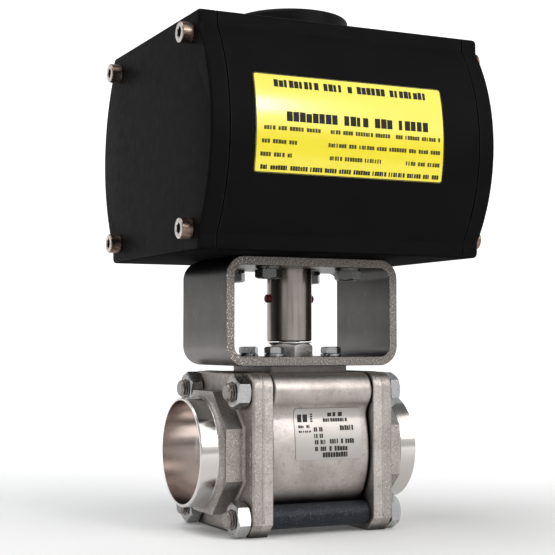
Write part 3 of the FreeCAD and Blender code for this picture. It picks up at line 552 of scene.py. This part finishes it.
def skin(rings, cap_first=False, cap_last=False, closed=False):
    """Vertices and faces of a skin over rings of equal length. Closed joins the last ring to the first."""
    count = len(rings[0])
    verts = [v for ring in rings for v in ring]
    faces = []
    last = len(rings) if closed else len(rings) - 1
    for i in range(last):
        a, b = i * count, (i + 1) % len(rings) * count
        for j in range(count):
            k = (j + 1) % count
            faces.append((a + j, a + k, b + k, b + j))
    if cap_first:
        faces.append(tuple(reversed(range(count))))
    if cap_last:
        faces.append(tuple(range(len(verts) - count, len(verts))))
    return verts, faces


def ring(radius, height, count):
    """A ring about local Z. Radius and height are numbers or functions of the angle."""
    points = []
    for j in range(count):
        t = 2 * math.pi * j / count
        r = radius(t) if callable(radius) else radius
        z = height(t) if callable(height) else height
        points.append(Vector((r * math.cos(t), r * math.sin(t), z)) * MM)
    return points


def hexagon(across_flats):
    """Radius of a hexagon against angle, with flats facing 0, 60, 120 and so on."""
    def radius(t):
        local = (t + math.pi / 6) % (math.pi / 3) - math.pi / 6
        return across_flats / 2 / math.cos(local)
    return radius


def hex_chamfer(across_flats, height):
    """Height of the corner chamfer's lower edge against angle: the curve that a turned cone leaves."""
    outline = hexagon(across_flats)
    rim = 0.472 * across_flats

    def level(t):
        return height - (outline(t) - rim) * math.tan(math.radians(30))
    return outline, rim, level


def thread(major, pitch, z):
    """Radius of a right-hand screw thread against angle, at a height."""
    depth = 0.6 * pitch

    def radius(t):
        phase = (z / pitch - t / (2 * math.pi)) % 1.0
        slope = abs(2 * phase - 1)
        return major - depth * min(max(1.35 * slope - 0.15, 0), 1)
    return radius


def threaded_length(major, pitch, z0, z1, count):
    """Rings of a thread from z0 down to z1, with a chamfered end at z1."""
    steps = max(2, round(abs(z1 - z0) / pitch * 8))
    rings = []
    for i in range(steps + 1):
        z = z0 + (z1 - z0) * i / steps
        screw = thread(major, pitch, z)
        chamfer = major - 0.75 * pitch + abs(z - z1)
        run_in = min(1.0, abs(z - z0) / pitch)

        def radius(t):
            return min(major - (major - screw(t)) * run_in, chamfer)
        rings.append(ring(radius, z, count))
    return rings


def hex_bolt(radius, pitch, length, across_flats, head, threaded):
    """Hex bolt with its head above z = 0 and its shank below, with a washer face and a turned chamfer."""
    outline, rim, level = hex_chamfer(across_flats, head)
    n = COLUMNS
    rings = [
        ring(0.34 * across_flats, head - 0.25, n),
        ring(0.37 * across_flats, head, n),
        ring(rim, head, n),
        ring(outline, level, n),
        ring(outline, 0.3, n),
        ring(0.475 * across_flats, 0.3, n),
        ring(0.475 * across_flats, 0.0, n),
        ring(radius, 0.0, n),
        ring(radius, -length + threaded, n),
    ]
    rings += threaded_length(radius, pitch, -length + threaded, -length, n)
    return skin(rings, cap_first=True, cap_last=True)


def hex_nut(radius, across_flats, height):
    """Hex nut above z = 0, chamfered on both faces and countersunk."""
    outline, rim, level = hex_chamfer(across_flats, height)
    n = COLUMNS
    rings = [
        ring(radius + 0.5, height, n),
        ring(rim, height, n),
        ring(outline, level, n),
        ring(outline, lambda t: height - level(t), n),
        ring(rim, 0.0, n),
        ring(radius + 0.5, 0.0, n),
        ring(radius + 0.02, 0.5, n),
        ring(radius + 0.02, height - 0.5, n),
    ]
    return skin(rings, closed=True)


def socket_screw(radius, length, head_r, head, key, key_depth):
    """Socket head screw: knurled side, rounded rim, hexagon socket with a drilled floor."""
    n = 144
    knurl = 48

    def ridged(t):
        return head_r - 0.07 * (0.5 - 0.5 * math.cos(knurl * t))
    socket = hexagon(key)
    rings = [
        ring(0.3, head - key_depth - 0.7, n),
        ring(0.46 * key, head - key_depth, n),
        ring(lambda t: socket(t) * 0.995, head - key_depth + 0.02, n),
        ring(socket, head - 0.3, n),
        ring(0.5 * key * 1.17, head - 0.02, n),
        ring(0.5 * key * 1.21, head, n),
    ]
    bend = 0.7
    for i in range(5):
        a = math.pi / 2 * i / 4
        rings.append(ring(head_r - bend + bend * math.sin(a), head - bend + bend * math.cos(a), n))
    rings += [
        ring(ridged, head - bend - 0.25, n),
        ring(ridged, 0.45, n),
        ring(head_r, 0.3, n),
        ring(head_r - 0.3, 0.0, n),
        ring(radius, 0.0, n),
        ring(radius, -length + 0.5, n),
        ring(radius - 0.5, -length, n),
    ]
    return skin(rings, cap_first=True, cap_last=True)


def plain_tube(inner, outer, length, chamfer):
    n = 96
    rings = [
        ring(inner + chamfer, 0.0, n),
        ring(outer - chamfer, 0.0, n),
        ring(outer, chamfer, n),
        ring(outer, length - chamfer, n),
        ring(outer - chamfer, length, n),
        ring(inner + chamfer, length, n),
        ring(inner, length - chamfer, n),
        ring(inner, chamfer, n),
    ]
    return skin(rings, closed=True)


def split_washer(inner, outer, thick):
    """Spring washer: a nearly flat turn of square wire with a slanted cut."""
    n = 80
    gap = 9.0
    verts, faces = [], []
    for i in range(n + 1):
        t = math.radians(gap / 2 + (360 - gap) * i / n)
        for r, z in ((inner, 0), (outer, 0), (outer, thick), (inner, thick)):
            slant = math.radians(9) * (z / thick - 0.5)
            verts.append(Vector((r * math.cos(t + slant), r * math.sin(t + slant), z)) * MM)
    for i in range(n):
        for j in range(4):
            a, b = 4 * i + j, 4 * i + (j + 1) % 4
            faces.append((a, b, b + 4, a + 4))
    faces.append((3, 2, 1, 0))
    faces.append((4 * n, 4 * n + 1, 4 * n + 2, 4 * n + 3))
    return verts, faces


def spot(origin, along, turn=0.0):
    """Matrix that stands a local +Z shape on a point, pointing along an axis, turned about it."""
    rotation = Vector(along).to_track_quat("Z", "Y").to_matrix().to_4x4()
    return Matrix.Translation(origin) @ rotation @ Matrix.Rotation(turn, 4, "Z")


def gather(parts):
    """Joins (shape, matrix) pairs into one list of vertices and faces."""
    verts, faces = [], []
    for (points, polygons), matrix in parts:
        start = len(verts)
        verts += [matrix @ v for v in points]
        faces += [tuple(start + i for i in face) for face in polygons]
    return verts, faces


def solids_of(node):
    """(lowest, highest) corner of each separate solid in a CAD node."""
    mesh = frame["nodes"][node].data
    key = [tuple(round(c * 1e6) for c in v.co) for v in mesh.vertices]
    parent = {k: k for k in key}

    def root(k):
        while parent[k] != k:
            parent[k] = parent[parent[k]]
            k = parent[k]
        return k
    for polygon in mesh.polygons:
        first = root(key[polygon.vertices[0]])
        for i in polygon.vertices[1:]:
            parent[root(key[i])] = first
    groups = {}
    for k in parent:
        groups.setdefault(root(k), []).append(k)
    boxes = []
    for points in groups.values():
        low = Vector([min(p[i] for p in points) for i in range(3)]) * 1e-6
        high = Vector([max(p[i] for p in points) for i in range(3)]) * 1e-6
        boxes.append((low, high))
    return sorted(boxes, key=lambda b: tuple(round(c, 4) for c in b[0] + b[1]))


def solid_size(node):
    """Extents of the first solid of a CAD node, in millimetres."""
    low, high = solids_of(node)[0]
    return (high - low) / MM


def fasteners(node, name, shape, along, seat_at, rounding=0.12, turns=None, spins=None):
    """Builds one shape at each solid of a CAD node. seat_at picks the seat from a solid's two ends.

    Each shape is turned about its axis: by its own number of degrees in spins, or at random up to
    turns radians either way.
    """
    rng = random.Random(SEED)
    axis = max(range(3), key=lambda i: abs(along[i]))
    parts = []
    for i, (low, high) in enumerate(solids_of(node)):
        seat = (low + high) / 2
        seat[axis] = seat_at(low[axis], high[axis])
        turn = 0.0
        if turns:
            turn = rng.uniform(-turns, turns)
        if spins:
            turn = math.radians(spins[i])
        parts.append((shape, spot(seat, along, turn)))
    slot = SLOT_OF[node]
    obj = make_piece(name, *gather(parts), FINISHES[slot], slot, "housing", [node])
    round_edges(obj, rounding)


# ------------ CAD nodes that stay

def dress(node, width=None):
    """Gives a CAD node its finish and, with a width, small edge roundings."""
    obj = frame["nodes"][node]
    slot = SLOT_OF[node]
    obj.data.materials.clear()
    obj.data.materials.append(FINISHES[slot])
    if width:
        normals = obj.data.attributes.get("custom_normal")
        if normals:
            obj.data.attributes.remove(normals)
        obj.data.shade_smooth()
        round_edges(obj, width)


SLOT_OF = {p["node"]: p["material_slot"] for p in frame["record"]["subparts"]}
ROUNDED = {
    "left_end_cap": 0.25, "right_end_cap": 0.25, "valve_body": 0.3, "mounting_bracket": 0.45,
    "coupling": 0.2, "gland_nut": 0.2, "lock_disc": 0.1, "actuator_body": 0.35,
    "left_end_cover": 0.35, "right_end_cover": 0.35, "indicator_dial": 0.3, "indicator_cap": 0.3,
}
for node_name in frame["nodes"]:
    dress(node_name, ROUNDED.get(node_name))


def shorten_springs():
    """Gives the spring nodes of both sides a mesh of their own; nothing is shortened."""
    for side, fixed in (("left", 0), ("right", 1)):
        node, joint_name = side + "_springs", side + "_piston_slide"
        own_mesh(frame["nodes"][node])


shorten_springs()


# ------------ fasteners

M10, M8, M6 = (5.0, 1.5), (4.0, 1.25), (3.0, 1.0)      # thread radius and pitch
M10_HEAD, M8_HEAD, M6_HEAD = 6.4, 5.3, 4.0
M10_THREADED, M8_THREADED, M6_THREADED = 24.0, 13.0, 12.0
WASHER_T = 1.6
SLEEVE_INNER, SLEEVE_OUTER = 5.3, 6.6
KEY, KEY_DEPTH = 5.2, 3.4       # hexagon socket of a cover screw


def build_fasteners():
    left, right = -X_AXIS, X_AXIS
    size = solid_size("body_bolts")
    bolt = hex_bolt(*M10, size.x - M10_HEAD, min(size.y, size.z), M10_HEAD, M10_THREADED)
    fasteners("body_bolts", "body_bolts_threaded", bolt, right, lambda low, high: FLANGE_X, turns=0.1)
    size = solid_size("body_nuts")
    nut = hex_nut(M10[0], min(size.y, size.z), size.x)
    fasteners("body_nuts", "body_nuts_chamfered", nut, left, lambda low, high: high,
              spins=(15, -4, 6, -8))
    sleeve = plain_tube(SLEEVE_INNER, SLEEVE_OUTER, solid_size("bolt_sleeves").x, 0.5)
    fasteners("bolt_sleeves", "bolt_sleeve_tubes", sleeve, right, lambda low, high: low)

    size = solid_size("bracket_to_valve_bolts")
    m6 = hex_bolt(*M6, size.z - M6_HEAD, min(size.x, size.y), M6_HEAD, M6_THREADED)
    fasteners("bracket_to_valve_bolts", "valve_side_bolts", m6, Z_AXIS,
              lambda low, high: high - M6_HEAD * MM, spins=(12, 16, 9, 13))
    washer = split_washer(3.1, 5.8, WASHER_T)
    fasteners("bracket_to_valve_washers", "valve_side_washers", washer, Z_AXIS,
              lambda low, high: low, rounding=0.15, turns=3.0)
    size = solid_size("bracket_to_actuator_bolts")
    m8 = hex_bolt(*M8, size.z - M8_HEAD, min(size.x, size.y), M8_HEAD, M8_THREADED)
    fasteners("bracket_to_actuator_bolts", "actuator_side_bolts", m8, -Z_AXIS,
              lambda low, high: low + M8_HEAD * MM, turns=0.5)
    washer = split_washer(4.1, 7.2, WASHER_T)
    fasteners("bracket_to_actuator_washers", "actuator_side_washers", washer, -Z_AXIS,
              lambda low, high: high, rounding=0.15, turns=3.0)

    size = solid_size("left_cover_screws")
    for side, along, end in (("left", left, 0), ("right", right, 1)):
        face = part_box(side + "_end_cover")[end].x
        head = abs(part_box(side + "_cover_screws")[end].x - face) / MM
        screw = socket_screw(M6[0], size.x - head, size.y / 2, head, KEY, KEY_DEPTH)
        fasteners(side + "_cover_screws", side + "_cover_socket_screws", screw, along,
                  lambda low, high, seat=face: seat, rounding=0.08, turns=3.0)


build_fasteners()


# ------------ casting ridges and dial marks

FLANGE_CORNER, FLANGE_CUT = 8.5 * MM, 7.5 * MM
RIDGE_SECTION = ((-0.75, -0.12), (-0.35, 0.16), (0.0, 0.36), (0.35, 0.16), (0.75, -0.12))


def flange_path():
    """Points (y, z, outward y, outward z) up the front edge of a flange, over the top and down the back."""
    half, top = CAP_HIGH.y, CAP_HIGH.z
    low = CAP_LOW.z + FLANGE_CUT + 1.0 * MM
    points = [(-half, low + (top - FLANGE_CORNER - low) * i / 24, -1, 0) for i in range(24)]
    for side in (-1, 1):
        for i in range(9):
            a = math.radians(11.25 * i if side < 0 else 90 - 11.25 * i)
            centre_y, centre_z = side * (half - FLANGE_CORNER), top - FLANGE_CORNER
            out_y, out_z = side * math.cos(a), math.sin(a)
            points.append((centre_y + FLANGE_CORNER * out_y, centre_z + FLANGE_CORNER * out_z, out_y, out_z))
    back = [(half, low + (top - FLANGE_CORNER - low) * i / 24, 1, 0) for i in range(24)]
    return points + back[::-1]


def parting_ridge(side):
    """Low wavy seam along the middle of a flange's rim, where the casting mould parted."""
    rng = random.Random(SEED + side)
    rings = []
    drift = 0.0
    for y, z, out_y, out_z in flange_path():
        drift = 0.8 * drift + rng.uniform(-0.10, 0.10)
        height = rng.uniform(0.75, 1.2)
        loop = []
        for across, up in RIDGE_SECTION:
            lift = up * (height if up > 0 else 1.0) * MM
            x = side * FLANGE_MIDDLE_X + (across + drift) * MM
            loop.append(Vector((x, y + lift * out_y, z + lift * out_z)))
        rings.append(loop)
    verts, faces = skin(rings, cap_first=True, cap_last=True)
    name = "left" if side < 0 else "right"
    make_piece(name + "_flange_parting_ridge", verts, faces, FINISHES["cast_stainless"],
               "cast_stainless", "housing")


def dial_ticks():
    """Short pale bars round the fixed dial's rim, longer every quarter turn."""
    low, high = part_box("indicator_dial")
    radius = (high.x - low.x) / 2
    verts, faces = [], []
    for i in range(24):
        a = 2 * math.pi * i / 24
        tall = 1.15 if i % 6 == 0 else 0.65
        out, along = Vector((math.cos(a), math.sin(a), 0)), Vector((-math.sin(a), math.cos(a), 0))
        start = len(verts)
        for depth in (-0.2, 0.06):
            for width, height in ((-0.35, -tall), (0.35, -tall), (0.35, tall), (-0.35, tall)):
                middle = Vector((0, 0, low.z + 1.55 * MM))
                reach = out * (radius + depth * MM) + along * width * MM
                verts.append(middle + reach + Z_AXIS * height * MM)
        faces += [tuple(start + k for k in quad) for quad in
                  ((3, 2, 1, 0), (4, 5, 6, 7), (0, 1, 5, 4), (1, 2, 6, 5), (2, 3, 7, 6), (3, 0, 4, 7))]
    make_piece("dial_tick_marks", verts, faces, DIAL_INK, "black_plastic", "housing", crisp=True)


def cast_marks():
    """Short raised dashes down the outer face of the left flange. They spell nothing."""
    rng = random.Random(SEED)
    middle_y = CAP_LOW.y + 3.4 * MM
    first, spacing = 9.0, 4.3
    verts, faces = [], []
    for i in range(8):
        z = PIPE_Z + (first - spacing * i) * MM
        wide, tall = rng.uniform(0.9, 1.3), rng.uniform(1.1, 1.7)
        start = len(verts)
        for lift, shrink in ((-0.2, 0.0), (0.25, 0.0), (0.4, 0.25)):
            for y, up in ((-wide, -tall), (wide, -tall), (wide, tall), (-wide, tall)):
                y -= math.copysign(shrink, y)
                up -= math.copysign(shrink, up)
                verts.append(Vector((-FLANGE_X - lift * MM, middle_y + y * MM, z + up * MM)))
        faces.append(tuple(start + k for k in range(4)))
        faces.append(tuple(start + 8 + k for k in (3, 2, 1, 0)))
        for level in (0, 4):
            for k in range(4):
                a, b = start + level + k, start + level + (k + 1) % 4
                faces.append((b, a, a + 4, b + 4))
    make_piece("left_flange_cast_marks", verts, faces, FINISHES["cast_stainless"],
               "cast_stainless", "housing")


parting_ridge(-1)
parting_ridge(1)
cast_marks()
dial_ticks()


# ------------ printing on the label and the plate

def random_words(rng, width, letter):
    """Numbers of letters, for words that fill a width with letters this wide."""
    counts = []
    left = round(width / letter)
    while left > 0:
        take = min(left, rng.choice((3, 4, 5, 6, 7)))
        counts.append(take)
        left -= take + 1
    return counts


class Printed:
    """Prints thin closed bars on the front of a CAD node. Places are shares of its width and height."""

    def __init__(self, node, proud=0.03, sunk=0.02):
        self.proud, self.sunk = proud * MM, sunk * MM
        self.low, self.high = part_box(node)
        mesh = frame["nodes"][node].data
        self.tree = BVHTree.FromPolygons([v.co for v in mesh.vertices], [p.vertices for p in mesh.polygons])
        self.verts, self.faces = [], []

    def depth(self, x, z):
        """Y of the surface at a point of its front."""
        hit = self.tree.ray_cast(Vector((x, self.low.y - 0.01, z)), Y_AXIS)
        return hit[0].y

    def add(self, verts, faces):
        start = len(self.verts)
        self.verts += verts
        self.faces += [tuple(start + i for i in face) for face in faces]

    def bar(self, u0, u1, v0, v1):
        """A bar from share u0 to u1 of the width and v0 to v1 down the height."""
        inset = 0.01 * MM
        xs = [self.low.x + inset + (self.high.x - self.low.x - 2 * inset) * u for u in (u0, u1)]
        top, bottom = [self.high.z - inset - (self.high.z - self.low.z - 2 * inset) * v for v in (v0, v1)]
        rows = max(1, math.ceil((top - bottom) / (1.2 * MM)))
        start = len(self.verts)
        for i in range(rows + 1):
            z = top + (bottom - top) * i / rows
            for x in xs:
                y = self.depth(x, z)
                self.verts.append(Vector((x, y - self.proud, z)))
                self.verts.append(Vector((x, y + self.sunk, z)))
        for i in range(rows):
            a = start + 4 * i
            b = a + 4
            self.faces += [(a, b, b + 2, a + 2), (a + 1, a + 3, b + 3, b + 1),
                           (a, a + 1, b + 1, b), (a + 2, b + 2, b + 3, a + 3)]
        a, b = start, start + 4 * rows
        self.faces += [(a, a + 2, a + 3, a + 1), (b, b + 1, b + 3, b + 2)]

    def words(self, rng, u0, u1, v, height, counts):
        """A line of words from share u0 to u1. Each word is a run of small blocks, which spell nothing."""
        total = sum(counts) + 0.9 * (len(counts) - 1)
        pitch = (u1 - u0) / total
        u = u0
        for count in counts:
            for _ in range(count):
                width = pitch * rng.choice((0.55, 0.78, 0.84, 0.86, 0.88, 0.90))
                lift = height * rng.choice((0, 0, 0, 0, 0.05, 0.10))
                self.bar(u, u + width, v - height / 2 + lift, v + height / 2)
                u += pitch
            u += pitch * 0.9

    def border(self, thick, corner):
        """A closed line along the edge of the plate, whose corners are rounded."""
        rings = []
        edge = 0.06
        levels = ((edge, -self.proud), (thick, -self.proud), (thick, self.sunk), (edge, self.sunk))
        for inset, depth in levels:
            points = []
            for sx, sz, start in ((1, 1, 0), (-1, 1, 90), (-1, -1, 180), (1, -1, 270)):
                r = max(corner - inset, 0.2)
                cx = (self.high.x if sx > 0 else self.low.x) - sx * (inset + r) * MM
                cz = (self.high.z if sz > 0 else self.low.z) - sz * (inset + r) * MM
                for i in range(6):
                    a = math.radians(start + 18 * i)
                    points.append((cx + r * MM * math.cos(a), cz + r * MM * math.sin(a)))
            loop = []
            for (x0, z0), (x1, z1) in zip(points, points[1:] + points[:1]):
                steps = max(1, math.ceil((abs(x1 - x0) + abs(z1 - z0)) / (2 * MM)))
                loop += [(x0 + (x1 - x0) * i / steps, z0 + (z1 - z0) * i / steps) for i in range(steps)]
            rings.append((loop, depth))
        count = min(len(loop) for loop, _ in rings)
        solid = []
        for loop, depth in rings:
            picked = [loop[round(i * len(loop) / count) % len(loop)] for i in range(count)]
            solid.append([Vector((x, self.depth(x, z) + depth, z)) for x, z in picked])
        self.add(*skin(solid, closed=True))

    def film(self, corner, thick):
        """The whole sheet, rounded at its corners, from the sunk level inwards."""
        inset = 0.01 * MM
        height = self.high.z - self.low.z - 2 * inset
        corner *= MM
        drops = [corner * (1 - math.cos(math.radians(15 * i))) for i in range(6)]
        steps = math.ceil((height - 2 * corner) / (1.2 * MM))
        drops += [corner + (height - 2 * corner) * i / steps for i in range(steps + 1)]
        drops += [height - d for d in drops[5::-1]]
        rings = []
        for drop in drops:
            beyond = max(corner - drop, drop - height + corner, 0.0)
            side = corner - math.sqrt(max(corner * corner - beyond * beyond, 0.0)) + inset
            z = self.high.z - inset - drop
            left, right = self.low.x + side, self.high.x - side
            y = self.depth(0.0, z) + self.sunk
            rings.append([Vector((left, y, z)), Vector((right, y, z)),
                          Vector((right, y + thick * MM, z)), Vector((left, y + thick * MM, z))])
        self.add(*skin(rings, cap_first=True, cap_last=True))

    def piece(self, name, material, slot, nodes=()):
        return make_piece(name, self.verts, self.faces, material, slot, "housing", nodes, crisp=True)


def print_label():
    """The film lies a hair below the CAD face, and the ink on it ends at that face."""
    rng = random.Random(SEED)
    film = Printed("front_label", 0.0, 0.03)
    film.film(1.5, 0.22)
    film.piece("front_label_film", FINISHES["yellow_label"], "yellow_label", ["front_label"])
    bold = Printed("front_label", 0.0, 0.05)
    bold.words(rng, 0.10, 0.92, 0.095, 0.078, (9, 4, 1, 6, 8))
    bold.words(rng, 0.155, 0.915, 0.43, 0.10, (8, 4, 3, 5))
    bold.words(rng, 0.03, 0.98, 0.945, 0.045, random_words(rng, 0.98 - 0.03, 0.0125))
    bold.piece("label_main_lines", INK, "yellow_label")
    fine = Printed("front_label", 0.0, 0.05)
    for row, groups in (
        (0.555, ((0.04, 0.33), (0.38, 0.70), (0.73, 0.98))),
        (0.69, ((0.03, 0.21), (0.37, 0.98))),
        (0.82, ((0.025, 0.19), (0.38, 0.66), (0.79, 0.98))),
    ):
        for u0, u1 in groups:
            fine.words(rng, u0, u1, row, 0.042, random_words(rng, u1 - u0, 0.0135))
    fine.piece("label_small_lines", FINE_INK, "yellow_label")
    border = Printed("front_label", 0.0, 0.05)
    border.border(0.45, 1.5)
    border.piece("label_border", BORDER, "yellow_label")


def print_nameplate():
    rng = random.Random(SEED + 1)
    bold = Printed("nameplate")
    for u0, u1, v, height, counts in (
        (0.05, 0.21, 0.19, 0.15, (2,)),
        (0.50, 0.74, 0.125, 0.085, (3,)),
        (0.43, 0.80, 0.235, 0.07, (10,)),
        (0.055, 0.235, 0.35, 0.055, (3, 2)),
        (0.055, 0.24, 0.445, 0.04, (6,)),
        (0.51, 0.88, 0.645, 0.095, (4, 1, 4)),
        (0.50, 0.78, 0.785, 0.095, (1, 5)),
        (0.40, 0.79, 0.905, 0.10, (10,)),
    ):
        bold.words(rng, u0, u1, v, height, counts)
    for i in range(4):
        bold.bar(0.24, 0.275, 0.10 + 0.045 * i, 0.13 + 0.045 * i)
    bold.piece("nameplate_print", PLATE_INK, "silver_plate")
    fine = Printed("nameplate")
    for u0, u1, v, height, counts in (
        (0.28, 0.415, 0.41, 0.085, (2, 2)),
        (0.675, 0.885, 0.39, 0.10, (6,)),
        (0.28, 0.415, 0.535, 0.085, (2, 2)),
        (0.285, 0.455, 0.655, 0.085, (2, 3)),
        (0.285, 0.455, 0.785, 0.085, (2, 3)),
    ):
        fine.words(rng, u0, u1, v, height, counts)
    fine.piece("nameplate_fine_print", PLATE_INK, "silver_plate")


print_label()
print_nameplate()


# ------------ stage

def backdrop_material():
    """Near-white paper. It glows a little away from the object, least in front and on the left."""
    s = Shader("pale_backdrop", Specular_IOR_Level=0.1)
    colour = s.mix(s.noise(400, 3), (0.86, 0.86, 0.86), (0.89, 0.89, 0.89))
    s.bump(s.noise(1.5, 2), 0.02)
    far = s.ramp(s.radius("X", "Y"), 0.12, 0.9, 0.15, 1.0)
    behind = s.ramp(s.axis("Y"), -0.3, 0.15, 0.25, 1.0)
    beside = s.ramp(s.axis("X"), -1.1, -0.35, 0.2, 0.6)
    glow = s.times(s.times(far, behind), beside)
    s.bsdf.inputs["Emission Color"].default_value = (1, 1, 1, 1)
    s.feed(s.bsdf.inputs["Emission Strength"], glow)
    return s.done(colour, s.spread(s.noise(60, 2), 0.75, 0.9))


def backdrop():
    """A flat floor that sweeps up into a low wall all round."""
    flat, sweep, top = 2.2, 1.0, 0.35
    profile = [(0.3, 0.0), (1.0, 0.0), (flat, 0.0)]
    for i in range(1, 11):
        a = math.pi / 2 * i / 10
        profile.append((flat + sweep * math.sin(a), sweep * (1 - math.cos(a))))
    profile.append((flat + sweep, sweep + top))
    verts, faces = skin([ring(r / MM, z / MM, 96) for r, z in profile], cap_first=True)
    mesh = bpy.data.meshes.new("backdrop")
    mesh.from_pydata([tuple(v) for v in verts], [], faces)
    mesh.shade_smooth()
    mesh.materials.append(backdrop_material())
    obj = bpy.data.objects.new("backdrop", mesh)
    bpy.context.scene.collection.objects.link(obj)


def softbox(name, azimuth, elevation, distance, size, radiance, colour=(1, 1, 1)):
    """Area light facing the object's middle. Azimuth in degrees from the front, positive to the right."""
    light = bpy.data.lights.new(name, "AREA")
    light.shape = "RECTANGLE"
    light.size, light.size_y = size
    light.energy = radiance * math.pi * size[0] * size[1]
    light.color = colour
    obj = bpy.data.objects.new(name, light)
    turn, lift = math.radians(azimuth), math.radians(elevation)
    out = Vector((math.sin(turn) * math.cos(lift), -math.cos(turn) * math.cos(lift), math.sin(lift)))
    obj.location = LIGHT_TARGET + out * distance
    obj.rotation_mode = "QUATERNION"
    obj.rotation_quaternion = (-out).to_track_quat("-Z", "Y")
    bpy.context.scene.collection.objects.link(obj)


def world(strength, colour):
    w = bpy.data.worlds.new("studio")
    bpy.context.scene.world = w
    w.use_nodes = True
    background = w.node_tree.nodes["Background"]
    background.inputs["Color"].default_value = (*colour, 1)
    background.inputs["Strength"].default_value = strength


def camera(place, yaw, pitch, lens):
    """Camera at a place, turned right by yaw and up by pitch from looking along +Y, in degrees."""
    data = bpy.data.cameras.new("camera")
    data.lens = lens
    data.sensor_width = 36.0
    data.clip_start = 0.01
    data.clip_end = 50
    obj = bpy.data.objects.new("camera", data)
    obj.location = place
    yaw, pitch = math.radians(yaw), math.radians(pitch)
    look = Vector((math.sin(yaw) * math.cos(pitch), math.cos(yaw) * math.cos(pitch), math.sin(pitch)))
    obj.rotation_mode = "QUATERNION"
    obj.rotation_quaternion = look.to_track_quat("-Z", "Y")
    bpy.context.scene.collection.objects.link(obj)
    bpy.context.scene.camera = obj


LIGHT_TARGET = Vector((0, 0, 0.12))
backdrop()
world(0.16, (0.94, 0.97, 1.0))
softbox("key_right", 30, 38, 1.7, (1.3, 1.7), 1.7, (1.0, 0.985, 0.96))
softbox("key_core", 17, 26, 1.6, (0.36, 0.24), 17.0, (1.0, 0.99, 0.97))
softbox("top_left", -90, 66, 2.0, (1.8, 1.7), 2.5)
softbox("fill_left", -75, 25, 1.9, (1.0, 0.9), 0.3)
softbox("rear_right", 150, 42, 1.9, (1.4, 1.2), 0.3)
softbox("rear_left", -150, 45, 1.9, (1.2, 1.0), 0.5)
camera((-0.3311, -0.6817, 0.1035), 25.4, 2.9, 85.3)

settings = bpy.context.scene.view_settings
settings.view_transform = "Standard"
settings.exposure = 0.0
